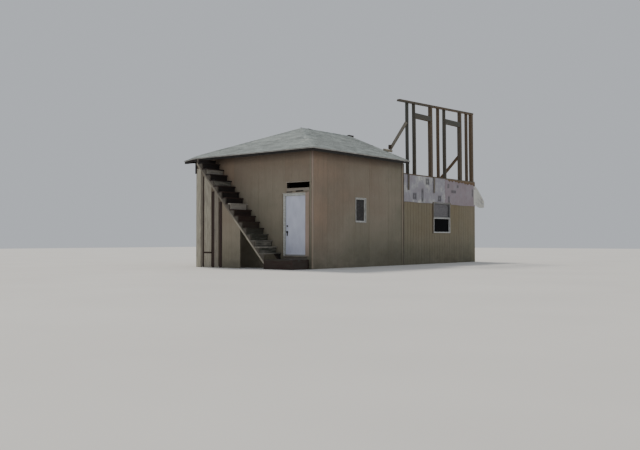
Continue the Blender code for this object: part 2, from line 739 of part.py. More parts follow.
def braces():
    """A brace from the first stud down to a cleat on the roof's cut edge, and one down to the deck."""
    inside = RIGHT - LUMBER_WIDE - SEAT
    stud_y = annex_y(STUD_1) - LUMBER_THIN / 2
    foot_x = RIGHT - BRACE_FOOT_IN
    cleat_foot = roof_underside(EAVE_RIGHT - foot_x) + ROOF_THICKNESS + 2 * SEAT
    cleat_half = LUMBER_WIDE / 2
    slope = PITCH * cleat_half
    section = [
        (foot_x - cleat_half, cleat_foot + slope),
        (foot_x + cleat_half, cleat_foot - slope),
        (foot_x + cleat_half, cleat_foot - slope + CLEAT_HEIGHT),
        (foot_x - cleat_half, cleat_foot + slope + CLEAT_HEIGHT),
    ]
    outline("brace_cleat", [section], "Y", stud_y - CLEAT_LENGTH, stud_y, LUMBER)
    foot_z = cleat_foot + CLEAT_HEIGHT + slope + SEAT
    lower = stud_y + leaned(BRACE_TOP + LUMBER_WIDE) - LUMBER_THIN - SEAT
    upper_foot = foot_x - cleat_half
    points = [
        (upper_foot, foot_z),
        (upper_foot + LUMBER_WIDE, foot_z),
        (RIGHT, BRACE_TOP),
        (RIGHT, BRACE_TOP + LUMBER_WIDE / 2),
        (inside, BRACE_TOP + LUMBER_WIDE),
    ]
    outline("brace_to_roof", [points], "Y", lower, lower + LUMBER_THIN, LUMBER)

    deck_y = back_y(STUD_6) + STUDS_AT_OPENING_END * LUMBER_THIN
    deck_y += leaned(DECK_BRACE_TOP - LUMBER_WIDE) + SEAT
    foot_x = RIGHT - DECK_BRACE_FOOT_IN
    foot_z = DECK_TOP + SEAT
    points = [
        (foot_x, foot_z),
        (foot_x + LUMBER_WIDE, foot_z),
        (RIGHT, DECK_BRACE_TOP),
        (RIGHT, DECK_BRACE_TOP + LUMBER_WIDE / 2),
        (inside, DECK_BRACE_TOP + LUMBER_WIDE),
    ]
    outline("brace_to_deck", [points], "Y", deck_y, deck_y + LUMBER_THIN, LUMBER)


def scab_boards():
    low = RIGHT + BAND_THICKNESS + 2 * SEAT
    for name, start, drop in (("scab_board_1", SCAB_1, SCAB_1_DROP), ("scab_board_2", SCAB_2, SCAB_2_DROP)):
        bottom = DECK_TOP - drop
        y = (annex_y(start), annex_y(start) + SCAB_WIDTH)
        box(name, (low, low + SCAB_THICKNESS), y, (bottom, bottom + SCAB_HEIGHT), WEATHERED)


def stringer_low(from_corner):
    """Height of the stringers' lower edge, parallel to the line of the nosings."""
    return FIRST_TREAD_TOP + (from_corner - FIRST_NOSING) * RISER / GOING - STRINGER_DROP


def stringer_outline():
    """Straight lower edge, and an upper edge notched under every tread."""
    foot = STOOP_END + SEAT
    first_back = FIRST_NOSING + TREAD_DEPTH + SEAT
    first_seat = FIRST_TREAD_TOP - TREAD_THICKNESS - SEAT
    points = [
        (foot, stringer_low(foot)),
        (STRINGER_END, stringer_low(STRINGER_END)),
        (STRINGER_END, STAIR_CEILING),
        (first_back + (TREADS - 1) * GOING, STAIR_CEILING),
    ]
    for step in range(TREADS - 1, -1, -1):
        seat = first_seat + step * RISER
        back = first_back + step * GOING
        points += [(back, seat), (max(back - GOING, foot), seat)]
    return [(front_x(from_corner), height) for from_corner, height in points]


def stair():
    """Treads with risers between two notched stringers, and the stoop that the flight starts from."""
    wall_side = (FRONT - SEAT - STRINGER_THICKNESS, FRONT - SEAT)
    outer = (STAIR_OUT, STAIR_OUT + STRINGER_THICKNESS)
    outline("inner_stringer", [stringer_outline()], "Y", *wall_side, DARK_WOOD)
    outline("outer_stringer", [stringer_outline()], "Y", *outer, WEATHERED)

    nosing = front_x(FIRST_NOSING)
    tread_z = (FIRST_TREAD_TOP - TREAD_THICKNESS, FIRST_TREAD_TOP)
    flight = box("stair_flight", (nosing - TREAD_DEPTH, nosing), (outer[0], wall_side[1]), tread_z, DARK_WOOD)
    repeat(flight, TREADS, (-GOING, 0, RISER))
    riser_x = nosing - GOING - RISER_SETBACK
    riser_z = (FIRST_TREAD_TOP - TREAD_THICKNESS / 2, FIRST_TREAD_TOP + RISER - TREAD_THICKNESS / 2)
    between = (outer[1] + SEAT, wall_side[0] - SEAT)
    risers = box("riser_row", (riser_x - RISER_BOARD, riser_x), between, riser_z)
    repeat(risers, TREADS - 1, (-GOING, 0, RISER))
    join(flight, risers)

    stoop_x = (front_x(STOOP_END), front_x(STOOP_START))
    stoop_y = (STAIR_OUT, FRONT - SILL_NOSE - SEAT)
    stoop = box("stoop", stoop_x, stoop_y, (0, STOOP_TOP), DARK_WOOD)
    hollow = box(
        "stoop_hollow",
        (stoop_x[0] + STOOP_BOARD, stoop_x[1] - STOOP_BOARD),
        (stoop_y[0] + STOOP_BOARD, stoop_y[1] + STOOP_BOARD),
        (-STOOP_TOP, STOOP_TOP - STOOP_BOARD),
    )
    cut(stoop, hollow)


def skirting():
    """The sheet panel and upright boards under the outer stringer."""
    middle = STAIR_OUT + STRINGER_THICKNESS / 2
    across = (middle - PANEL_THICKNESS / 2, middle + PANEL_THICKNESS / 2)

    def upright(name, start_back, end_back, look, ceiling=STAIR_CEILING):
        start, end = STRINGER_END - start_back, STRINGER_END - end_back
        tops = [(d, min(stringer_low(d), ceiling)) for d in (start, end)]
        points = [(start, 0), (end, 0), tops[1], tops[0]]
        lowered = [(front_x(d), z - 2 * SEAT if z else 0) for d, z in points]
        outline(name, [lowered], "Y", *across, look)

    upright("skirt_panel", PANEL_START, PANEL_END, BEIGE_SIDING)
    upright("skirt_board_1", BOARD_1_START, BOARD_1_END, WEATHERED)
    upright("skirt_board_2", BOARD_2_START, BOARD_2_END, WEATHERED)
    upright("skirt_board_3", BOARD_2_END - SEAT, BOARD_3_END, WEATHERED)
    upright("skirt_board_4", BOARD_3_END - SEAT, BOARD_4_END, WEATHERED, STAIR_CEILING - BOARD_4_DROP)


for old in list(bpy.data.objects):
    bpy.data.objects.remove(old)
building = new_collection("farm_building")
cutters = new_collection("cutters")
cutters.hide_render = True

main_walls()
annex_walls()
floors()
roof()
window(
    "window_narrow",
    side_y(NARROW_START),
    NARROW_WIDTH,
    NARROW_BOTTOM,
    NARROW_HEIGHT,
    NARROW_STILE,
    NARROW_RAIL,
)
window(
    "window_wide",
    annex_y(WIDE_START),
    WIDE_WIDTH,
    WIDE_BOTTOM,
    WIDE_HEIGHT,
    WIDE_STILE,
    WIDE_RAIL,
    WIDE_MEETING_RAIL,
)
door()
wrap_band()
framed_wall()
braces()
scab_boards()
stair()
skirting()
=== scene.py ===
"""The looks of a hip-roofed farm building with an outside stair and a half-framed annex.

Every piece is laid round the packed model, in metres, +Z up. Run it in Blender's text editor, or from the
command line; each button of the panel then makes one group of pieces again.
"""
import math

import bpy
import numpy as np
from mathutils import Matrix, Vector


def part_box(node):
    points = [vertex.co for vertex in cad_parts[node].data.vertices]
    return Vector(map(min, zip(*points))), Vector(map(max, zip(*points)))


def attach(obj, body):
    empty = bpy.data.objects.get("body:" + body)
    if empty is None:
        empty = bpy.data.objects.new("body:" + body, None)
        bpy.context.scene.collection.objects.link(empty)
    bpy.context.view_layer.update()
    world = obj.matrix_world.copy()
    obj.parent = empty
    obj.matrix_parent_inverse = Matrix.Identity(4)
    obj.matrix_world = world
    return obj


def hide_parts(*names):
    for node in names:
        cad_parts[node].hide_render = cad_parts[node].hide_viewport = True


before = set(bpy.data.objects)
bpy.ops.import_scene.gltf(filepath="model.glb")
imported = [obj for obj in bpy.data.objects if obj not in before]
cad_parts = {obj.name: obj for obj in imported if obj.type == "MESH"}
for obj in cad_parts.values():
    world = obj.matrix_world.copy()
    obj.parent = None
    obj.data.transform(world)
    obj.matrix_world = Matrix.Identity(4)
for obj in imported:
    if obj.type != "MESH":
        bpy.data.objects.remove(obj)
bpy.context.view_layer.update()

bl_info = {
    "name": "Farm building dresser",
    "version": (1, 0, 0),
    "blender": (4, 5, 0),
    "location": "3D View > Sidebar > Farm building",
    "description": "Sides, roofs and finishes a farm building with an outside stair and a framed annex",
    "category": "Object",
}

# Stock sizes: framing lumber, plywood, thin trim, and the distance between studs
LUMBER, PLYWOOD, TRIM = 0.038, 0.019, 0.014
STUD_SPACING = 0.406
# The gap that keeps two faces out of one plane
SEAT = 0.0003

# Lines of the building, read from the frame
MAIN_LOW, MAIN_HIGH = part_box("right_wall_main")
ANNEX_LOW, ANNEX_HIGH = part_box("right_wall_annex")
CROSS_LOW, CROSS_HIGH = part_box("cross_wall")
DECK_LOW, DECK_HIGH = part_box("upper_deck")
ROOF_LOW, ROOF_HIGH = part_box("roof_right")
STAIR_LOW, STAIR_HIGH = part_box("stair_flight")
STOOP_LOW, STOOP_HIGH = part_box("stoop")
STRINGER_LOW, STRINGER_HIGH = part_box("outer_stringer")
RIGHT = MAIN_HIGH.x
WALL = MAIN_HIGH.x - MAIN_LOW.x
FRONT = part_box("front_wall_left")[0].y
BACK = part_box("back_wall_annex")[1].y
BAND_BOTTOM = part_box("wrap_band")[0].z

# The roof boards' thickness and slope, its eaves, its apex and both ends of its cut edge
ROOF_SKIN = 0.035
EAVE_X, EAVE_Y = ROOF_HIGH.x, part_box("roof_front")[0].y
PITCH = (ROOF_HIGH.z - ROOF_LOW.z - ROOF_SKIN) / EAVE_X
APEX_Y = EAVE_Y + EAVE_X
RAKE_EAVE, RAKE_RIDGE = CROSS_LOW.y + 0.04, ROOF_HIGH.y

# The doorway and the open slot above it, from the pieces of the front wall
DOORWAY_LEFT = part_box("front_wall_left")[1].x
DOORWAY_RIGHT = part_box("front_wall_right")[0].x
DOORWAY_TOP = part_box("front_wall_over_door")[0].z
SLOT = ((RIGHT - 1.08, DOORWAY_TOP + 0.172), (RIGHT - 0.08, DOORWAY_TOP + 0.362))

# The stair's steps, its first nosing and tread, and the number of treads
RISER, GOING = 0.212, 0.199
STAIR_STEP_X = STOOP_LOW.x + 0.03
STAIR_STEP_Z = STOOP_HIGH.z + RISER
STEPS = 1 + int((STRINGER_HIGH.z - STAIR_STEP_Z) / RISER)


def metres(name, default, description):
    """A property that is a length."""
    return bpy.props.FloatProperty(name=name, description=description, default=default, unit="LENGTH")


class SidingSettings(bpy.types.PropertyGroup):
    """Panel siding on the outer walls."""

    groove_spacing: metres("Groove spacing", 0.2032, "Distance between grooves")
    groove_width: metres("Groove width", 0.010, "Width of a groove")
    main_groove_depth: metres("Front half depth", 0.0018, "Groove depth on the front half")
    annex_groove_depth: metres("Annex depth", 0.007, "Groove depth on the annex")
    grooves_a_panel: bpy.props.IntProperty(
        name="Grooves a panel", description="Grooves from one panel seam to the next", default=6, min=1
    )
    bulge: metres("Bulge", 0.004, "How far the panels sink between studs")
    corner_width: metres("Corner board", 0.075, "Width of a corner board")


class RoofSettings(bpy.types.PropertyGroup):
    """Asphalt shingles and the boards and metal along the eaves."""

    exposure: metres("Exposure", 0.143, "Height of each course along the slope")
    tab_width: metres("Tab width", 0.305, "Width of one shingle tab")
    butt: metres("Butt", 0.009, "Height of a tab's lower edge off the boards")
    cap_reach: metres("Cap reach", 0.13, "Width of a hip cap on each slope")
    corner_sag: metres("Corner sag", 0.07, "How far the front left corner has sagged")


class StairSettings(bpy.types.PropertyGroup):
    """The outside stair and the boards under it."""

    riser: metres("Riser", RISER, "Height of a step")
    going: metres("Going", GOING, "Depth of a step")
    tread_depth: metres("Tread depth", 0.25, "Depth of a tread board")
    tread_thickness: metres("Tread thickness", LUMBER, "Thickness of a tread board")


class WrapSettings(bpy.types.PropertyGroup):
    """House wrap round the annex's upper edge."""

    billow: metres("Billow", 0.016, "How far the wrap stands off between its nails")
    nail_spacing: metres("Nail spacing", STUD_SPACING, "Distance between rows of cap nails")
    colour: bpy.props.StringProperty(name="Colour", description="Wrap colour, as sRGB hex", default="94929A")


class LumberSettings(bpy.types.PropertyGroup):
    """Construction lumber of the framed wall."""

    thin: metres("Thickness", LUMBER, "Lumber thickness")
    wide: metres("Width", 0.140, "Lumber width")
    bow: metres("Bow", 0.007, "Most that a stud bows")


class StageSettings(bpy.types.PropertyGroup):
    """Camera, lights and floor."""

    camera_place: bpy.props.FloatVectorProperty(
        name="Camera", description="Where the camera stands", default=(18.775, -24.80, 0.97),
        subtype="TRANSLATION",
    )
    azimuth: bpy.props.FloatProperty(
        name="Azimuth", description="Turn of the view from +Y", default=math.radians(39), subtype="ANGLE"
    )
    pitch: bpy.props.FloatProperty(
        name="Pitch", description="Upward tilt of the view", default=math.radians(1.1), subtype="ANGLE"
    )
    focal_pixels: bpy.props.FloatProperty(
        name="Focal length", description="Focal length in pixels of a 640 pixel wide picture", default=766.0
    )
    sky: bpy.props.FloatProperty(name="Sky", description="Strength of the light from all round", default=0.62)
    sun: bpy.props.FloatProperty(name="Sun", description="Strength of the high soft light", default=2.4)


SETTINGS = {
    "farm_siding": SidingSettings,
    "farm_roof": RoofSettings,
    "farm_stair": StairSettings,
    "farm_wrap": WrapSettings,
    "farm_lumber": LumberSettings,
    "farm_stage": StageSettings,
}


def linear(code):
    """Linear RGBA from an sRGB hex code."""
    rgb = np.array([int(code[i : i + 2], 16) for i in (0, 2, 4)]) / 255
    low = rgb <= 0.04045
    return (*np.where(low, rgb / 12.92, ((rgb + 0.055) / 1.055) ** 2.4).tolist(), 1.0)


def at(x, y, z):
    """Places from their three coordinates, each a number or an array, spread to one shape."""
    return np.stack(np.broadcast_arrays(x, y, z), -1)


def field(u, v, length_u, length_v, seed, waves=9):
    """Smooth random field from -1 to 1: the mean of sine waves in seeded directions and phases."""
    random = np.random.default_rng(seed)
    total = np.zeros(np.broadcast(u, v).shape)
    for angle, phase, stretch in random.uniform((0, 0, 0.6), (2 * math.pi, 2 * math.pi, 1.7), (waves, 3)):
        across = np.cos(angle) * u / length_u + np.sin(angle) * v / length_v
        total = total + np.sin(2 * math.pi * stretch * across + phase)
    return total / math.sqrt(waves) / 1.6


def stations(start, end, fixed, step):
    """Sorted places from start to end: all the fixed ones, and an even row that keeps clear of them."""
    fixed = np.unique(np.round(np.append(fixed, [start, end]), 5))
    even = np.linspace(start, end, int((end - start) / step) + 2)
    clear = np.abs(even[:, None] - fixed).min(1) > step / 4
    return np.unique(np.append(fixed, even[clear]))


class Shape:
    """A closed body: points, faces as arrays of equal-sided polygons, and each corner's place in the grain.

    Faces that point inwards, so that the body's signed volume is negative, are turned round.
    """

    def __init__(self, points, faces, grain=None, tone=0.5, wear=0.0):
        self.points = np.asarray(points, float).reshape(-1, 3)
        self.faces = faces
        widest = np.sort(np.argsort(np.ptp(self.points, 0))[-2:])
        self.grain = grain or [self.points[f][..., widest] for f in faces]
        self.tone = np.broadcast_to(np.asarray(tone, float), len(self.points))
        self.wear = np.broadcast_to(np.asarray(wear, float), len(self.points))
        corners = np.concatenate([f[:, (0, i, i + 1)] for f in faces for i in range(1, f.shape[1] - 1)])
        a, b, c = self.points[corners.T]
        if (a * np.cross(b, c)).sum() < 0:
            self.faces = [f[:, ::-1] for f in self.faces]
            self.grain = [g[:, ::-1] for g in self.grain]


def gathered(shapes):
    """Several shapes as one, with their face numbers moved on."""
    starts = np.cumsum([0] + [len(s.points) for s in shapes])
    faces = [f + start for s, start in zip(shapes, starts) for f in s.faces]
    grain = [g for s in shapes for g in s.grain]
    joined = [np.concatenate([getattr(s, name) for s in shapes]) for name in ("points", "tone", "wear")]
    return Shape(joined[0], faces, grain, joined[1], joined[2])


def thick_sheet(outer, inner, tone=0.5, wear=0.0, keep=None):
    """A closed sheet between two point grids, or a row of them.

    Each cell of the grids gives one outer and one inner face. Cells that keep leaves out are openings, and
    every edge between a kept cell and a missing one gets a rim.
    """
    outer, inner = (grid if grid.ndim == 4 else grid[None] for grid in (outer, inner))
    count, rows, columns, _ = outer.shape
    cells = np.ones((rows - 1, columns - 1), bool) if keep is None else keep
    index = np.arange(rows * columns).reshape(rows, columns)
    a, b, c, d = index[:-1, :-1], index[1:, :-1], index[1:, 1:], index[:-1, 1:]
    far = rows * columns
    front = np.stack([a, b, c, d], -1)[cells]
    around = np.pad(cells, 1)
    quads = [front, front[:, ::-1] + far]
    sides = (
        (cells & ~around[:-2, 1:-1], a, d),
        (cells & ~around[2:, 1:-1], c, b),
        (cells & ~around[1:-1, :-2], b, a),
        (cells & ~around[1:-1, 2:], d, c),
    )
    for edge, first, second in sides:
        p, q = first[edge], second[edge]
        quads.append(np.stack([p, q, q + far, p + far], -1))
    used, quads = np.unique(np.concatenate(quads), return_inverse=True)
    points = np.concatenate([outer.reshape(count, -1, 3), inner.reshape(count, -1, 3)], 1)[:, used]
    faces = (quads.reshape(1, -1, 4) + np.arange(count)[:, None, None] * len(used)).reshape(-1, 4)
    spread = []
    for value in (tone, wear):
        value = np.asarray(value, float)
        if value.shape == (count,) and count > 1:
            value = np.repeat(value, len(used))
        elif value.shape == (rows, columns):
            value = np.tile(np.concatenate([value.ravel()] * 2)[used], count)
        spread.append(value)
    return Shape(points, [faces], None, *spread)


def tube_faces(rows, ring, count=1):
    """Faces of closed tubes, each with rows of ring points: quads along them, and a cap at both ends."""
    j = np.arange(ring)
    k = (j + 1) % ring
    i = np.arange(rows - 1)[:, None] * ring
    quads = np.stack([i + j, i + k, i + k + ring, i + j + ring], -1).reshape(-1, 4)
    caps = np.stack([j[::-1], j + (rows - 1) * ring])
    steps = np.arange(count)[:, None, None] * rows * ring
    return [(faces + steps).reshape(-1, faces.shape[1]) for faces in (quads, caps)]


def boards(start, end, side, wide, thin, tone=0.5, bow=0.0, cut=(0.0, 0.0), ease=0.003, rows=6, seed=1):
    """Boards from start to end: an eased rectangle carried along a line that bows as half a sine wave.

    side is the direction of the board's width, and cut is how far its two ends slant, as a length along the
    board for each length across its width. The grain runs along the board.
    """
    start, end, side = (np.atleast_2d(np.asarray(value, float)) for value in (start, end, side))
    count = max(len(start), len(end))
    random = np.random.default_rng(seed)
    start, end, side = (np.broadcast_to(value, (count, 3)) for value in (start, end, side))
    wide, thin, bow, tone = (np.broadcast_to(np.asarray(v, float), count) for v in (wide, thin, bow, tone))
    run = end - start
    length = np.linalg.norm(run, axis=1)
    along = run / length[:, None]
    side = side - (side * along).sum(1)[:, None] * along
    side = side / np.linalg.norm(side, axis=1)[:, None]
    up = np.cross(along, side)
    half, deep = wide / 2, thin / 2
    across = np.stack([half, half, half - ease, ease - half, -half, -half, ease - half, half - ease], 1)
    over = np.stack([ease - deep, deep - ease, deep, deep, deep - ease, ease - deep, -deep, -deep], 1)
    s = np.linspace(0, 1, rows)
    slant = (cut[0] * (1 - s) + cut[1] * s)[None, :, None] * across[:, None, :]
    middle = start[:, None, :] + s[None, :, None] * run[:, None, :]
    middle = middle + (bow[:, None] * np.sin(math.pi * s))[..., None] * side[:, None, :]
    points = middle[:, :, None, :] + across[:, None, :, None] * side[:, None, None, :]
    points = points + over[:, None, :, None] * up[:, None, None, :]
    points = points + slant[..., None] * along[:, None, None, :]
    ring = across.shape[1]
    gaps = np.hypot(np.diff(across, axis=1, append=across[:, :1]), np.diff(over, axis=1, append=over[:, :1]))
    girth = np.concatenate([np.zeros((count, 1)), np.cumsum(gaps, 1)], 1) + random.uniform(0, 9, (count, 1))
    reach = s[None, :] * length[:, None] + random.uniform(0, 30, (count, 1))
    corner_u = np.stack([girth[:, :-1], girth[:, 1:], girth[:, 1:], girth[:, :-1]], -1)
    corner_v = np.stack([reach[:, :-1], reach[:, :-1], reach[:, 1:], reach[:, 1:]], -1)
    grain = np.stack(np.broadcast_arrays(corner_u[:, None], corner_v[:, :, None]), -1)
    j = np.arange(ring)
    ends = np.stack([across, over], -1)[:, np.stack([j[::-1], j])] * np.array([1, 0.2])
    grain = [grain.reshape(-1, 4, 2), ends.reshape(-1, ring, 2)]
    return Shape(points, tube_faces(rows, ring, count), grain, np.repeat(tone, rows * ring))


def turned(profile, middle, axis, sides=20):
    """A profile of (radius, height) turned about a level axis, through one middle or each of several."""
    profile = np.array(profile, float)[..., None, None]
    middle = np.atleast_2d(middle)
    axis = np.asarray(axis, float)
    right = np.cross((0.0, 0.0, 1.0), axis)
    angle = np.linspace(0, 2 * math.pi, sides, endpoint=False)[:, None]
    round_way = np.cos(angle) * right + np.sin(angle) * np.cross(axis, right)
    points = middle[:, None, None, :] + profile[:, 0] * round_way + profile[:, 1] * axis
    return Shape(points, tube_faces(len(profile), sides, len(middle)))


def new_object(name, shape, finish):
    """Makes the mesh object of a shape, in place of an older one of that name."""
    old = bpy.data.objects.get(name)
    if old:
        bpy.data.objects.remove(old)
    mesh = bpy.data.meshes.new(name)
    mesh.from_pydata(shape.points.tolist(), [], [face for f in shape.faces for face in f.tolist()])
    uv = mesh.uv_layers.new(name="grain")
    loops = np.concatenate([g.reshape(-1, 2) for g in shape.grain])
    uv.data.foreach_set("uv", loops.astype(np.float32).ravel())
    for label, values in (("tone", shape.tone), ("wear", shape.wear)):
        attribute = mesh.attributes.new(label, "FLOAT", "POINT")
        attribute.data.foreach_set("value", values.astype(np.float32))
    mesh.validate()
    mesh.materials.append(finish_of(finish))
    obj = bpy.data.objects.new(name, mesh)
    bpy.context.scene.collection.objects.link(obj)
    return obj


def add_piece(name, shape, finish, replaces=(), body="building", smooth=None):
    """Adds a piece that rides on its body, in place of nodes of the packed model."""
    obj = new_object(name, shape, finish)
    if smooth is not None:
        obj.data.shade_smooth()
        obj.data.set_sharp_from_angle(angle=math.radians(smooth))
    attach(obj, body)
    if replaces:
        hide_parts(*replaces)
    return obj


def dress(node, finish):
    """Gives a shown node of the packed model a finish of its own."""
    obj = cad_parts[node]
    obj.data.materials.clear()
    obj.data.materials.append(finish_of(finish))


def roof_top(inward):
    """Height of the roof boards' upper side, from the distance in from the nearest eave."""
    return ROOF_LOW.z + ROOF_SKIN + PITCH * inward


def wall_plane(side):
    """Turns (across, up, outward) into places on the front, right, left or back wall's outer face."""
    turn = {
        "front": lambda u, v, d: at(u, FRONT - d, v),
        "right": lambda u, v, d: at(RIGHT + d, u, v),
        "left": lambda u, v, d: at(-RIGHT - d, -u, v),
        "back": lambda u, v, d: at(-u, BACK + d, v),
    }
    return turn[side]


# A mix node's sockets when it mixes colours: the factor, both colours and the output
FACTOR, UNDER, OVER, MIXED = 0, 6, 7, 2


class Finish:
    """A material being made: its nodes, its Principled surface, and the place on the piece in metres.

    Constant settings of the surface are given by name, with spaces as underscores.
    """

    def __init__(self, name, **constants):
        old = bpy.data.materials.get(name)
        if old:
            bpy.data.materials.remove(old)
        self.material = bpy.data.materials.new(name)
        self.material.use_nodes = True
        self.tree = self.material.node_tree
        self.surface = self.tree.nodes["Principled BSDF"].inputs
        for socket, value in constants.items():
            self.surface[socket.replace("_", " ")].default_value = value
        self.place = self.add("TexCoord", out="Object")

    def add(self, kind, inputs=(), out=0, **settings):
        """Adds a node, sets it up, links or fills its inputs, and returns one of its outputs.

        The inputs are given in order, or by name or number. The setting named stops fills a colour ramp with
        places and sRGB hex codes.
        """
        node = self.tree.nodes.new("ShaderNode" + kind)
        stops = settings.pop("stops", ())
        for name, value in settings.items():
            setattr(node, name, value)
        for _ in stops[2:]:
            node.color_ramp.elements.new(1.0)
        for number, (place, code) in enumerate(stops):
            node.color_ramp.elements[number].position = place
            node.color_ramp.elements[number].color = linear(code)
        for name, value in inputs.items() if isinstance(inputs, dict) else enumerate(inputs):
            if isinstance(value, bpy.types.NodeSocket):
                self.tree.links.new(value, node.inputs[name])
            else:
                node.inputs[name].default_value = value
        return node.outputs[out]

    def pattern(self, size_mm, detail=0.0, roughness=0.5, place=None, kind="TexNoise", out=0):
        """A noise, or another pattern, whose grain has a real size in millimetres along each axis."""
        scale = [1000 / size for size in size_mm]
        moved = self.add("Mapping", {"Vector": place or self.place, "Scale": scale})
        return self.add(kind, {"Vector": moved, "Scale": 1.0, "Detail": detail, "Roughness": roughness}, out)

    def veil(self, colour, value, low, high, most, code, mask=None, least=0.0):
        """Lays a colour over another, in a share from least to most as a value goes from low to high.

        A mask, where there is one, is multiplied into the share.
        """
        share = self.add("MapRange", (value, low, high, least, most))
        if mask:
            share = self.add("Math", (share, mask), operation="MULTIPLY")
        return self.add("Mix", {FACTOR: share, UNDER: colour, OVER: linear(code)}, MIXED, data_type="RGBA")

    def shaded(self, colour, value, low, high, least, most):
        """Multiplies a colour by a factor that goes from least to most as a value goes from low to high."""
        shades = self.add("MapRange", (value, low, high, least, most))
        colours = {FACTOR: 1.0, UNDER: colour, OVER: shades}
        return self.add("Mix", colours, MIXED, data_type="RGBA", blend_type="MULTIPLY")

    def done(self, colour, height=None, depth_mm=1.0, strength=0.5, gloss=None):
        """Links the colour, a bump of a depth in millimetres, and a roughness, and returns the material."""
        links = {"Base Color": colour, "Roughness": gloss}
        if height:
            bump = {"Height": height, "Distance": depth_mm / 1000, "Strength": strength}
            links["Normal"] = self.add("Bump", bump)
        for socket, value in links.items():
            if value:
                self.tree.links.new(value, self.surface[socket])
        return self.material


def painted_siding(name, stops, groove_code, grime_code, streak_code):
    """Faded alkyd paint rolled on textured panel siding.

    It gives the eye a flat beige that drifts from a warm cast under the eaves to a green one below, darker
    runs, green grime near the ground, a painted shadow of the eaves along the wall's top, and the fine
    upright comb of the panel's face.
    """
    f = Finish(name, Roughness=0.85)
    tone = f.add("Attribute", out="Fac", attribute_name="tone")
    wear = f.add("Attribute", out="Fac", attribute_name="wear")
    height = f.add("SeparateXYZ", (f.place,), "Z")
    drift = f.add("Math", (tone, 0.8, -0.4), operation="MULTIPLY_ADD")
    for part in (f.pattern((2300, 2300, 1500), 3), f.add("MapRange", (height, 0.0, 4.0, 0.2, -0.22))):
        drift = f.add("Math", (drift, part), operation="ADD")
    colour = f.add("ValToRGB", (drift,), stops=stops)
    colour = f.veil(colour, f.pattern((70, 70, 1900), 5, 0.6), 0.48, 0.78, 0.5, streak_code)
    patches = f.pattern((420, 420, 260), 6, 0.65)
    colour = f.veil(colour, height, 0.95, 0.0, 1.3, grime_code, patches)
    colour = f.veil(colour, f.pattern((60, 60, 700), 3), 0.3, 0.62, 1.0, groove_code, wear)
    comb = f.pattern((7, 7, 160), 4)
    colour = f.shaded(colour, comb, 0.3, 0.7, 0.86, 1.06)
    # Painted shadow of the eaves: a dark brown laid over the wall's top, from 3.62 m up to 3.88 m
    colour = f.veil(colour, height, 3.62, 3.88, 0.6, "3A2C29")
    gloss = f.add("MapRange", (patches, 0.3, 0.7, 0.72, 0.95))
    return f.done(colour, comb, 1.2, 0.6, gloss)


def sawn_wood(name, stops, streak_code, knot_code, grain_mm=5.0, depth_mm=0.8, dark_share=0.5):
    """Sawn softwood boards, bare to the weather; the grain follows each board's own length.

    It gives the eye long fibres, oval knots, greyed streaks, and a tone of its own for each board.
    """
    f = Finish(name, Roughness=0.82)
    along = f.add("UVMap", uv_map="grain")
    tone = f.add("Attribute", out="Fac", attribute_name="tone")
    broad = f.add("Math", (f.pattern((60, 420, 100), 3, place=along), 0.5, -0.25), operation="MULTIPLY_ADD")
    colour = f.add("ValToRGB", (f.add("Math", (tone, broad), operation="ADD"),), stops=stops)
    waves = f.pattern((120, 300, 100), 1, place=along)
    warped = f.add("Mix", {FACTOR: 0.025, UNDER: along, OVER: waves}, MIXED, data_type="RGBA")
    fibre = f.pattern((grain_mm, 260, 100), 5, 0.6, warped)
    colour = f.veil(colour, fibre, 0.46, 0.72, dark_share, streak_code)
    knots = f.pattern((95, 260, 100), place=along, kind="TexVoronoi", out="Distance")
    colour = f.veil(colour, knots, 0.11, 0.06, 0.8, knot_code)
    return f.done(colour, fibre, depth_mm, 0.7)


def asphalt_shingle(name):
    """Asphalt shingles with mineral grit, weathered green-grey.

    They give the eye a matt speckle, tabs that differ a little from each other, and darker weather streaks
    down the slope. The grit is drawn at 9 mm, coarser than the real 1.5 mm, so that it shows.
    """
    f = Finish(name, Roughness=0.92)
    tone = f.add("Attribute", out="Fac", attribute_name="tone")
    stain = f.add("Math", (f.pattern((700, 700, 500), 5, 0.6), 0.9, -0.45), operation="MULTIPLY_ADD")
    stops = ((0.0, "747978"), (0.35, "8A9291"), (0.65, "9CA5A4"), (1.0, "B0B6B1"))
    colour = f.add("ValToRGB", (f.add("Math", (tone, stain), operation="ADD"),), stops=stops)
    grit = f.add("SeparateColor", (f.pattern((9, 9, 9), kind="TexVoronoi", out="Color"),))
    return f.done(f.shaded(colour, grit, 0.0, 1.0, 0.66, 1.25), grit, 1.6)


def deck_plywood(name):
    """Plywood decking left to the rain: tan veneer, greyed in patches, with darker water marks."""
    f = Finish(name, Roughness=0.85)
    tone = f.add("Attribute", out="Fac", attribute_name="tone")
    veneer = f.pattern((380, 22, 22), 6, 0.6)
    colour = f.add("ValToRGB", (veneer,), stops=((0.3, "6B5940"), (0.5, "8A7456"), (0.75, "A08B6C")))
    colour = f.shaded(colour, tone, 0.0, 1.0, 0.8, 1.12)
    colour = f.veil(colour, f.pattern((600, 600, 600), 6, 0.65), 0.45, 0.65, 0.75, "6F6B64")
    return f.done(colour, veneer, 0.5)


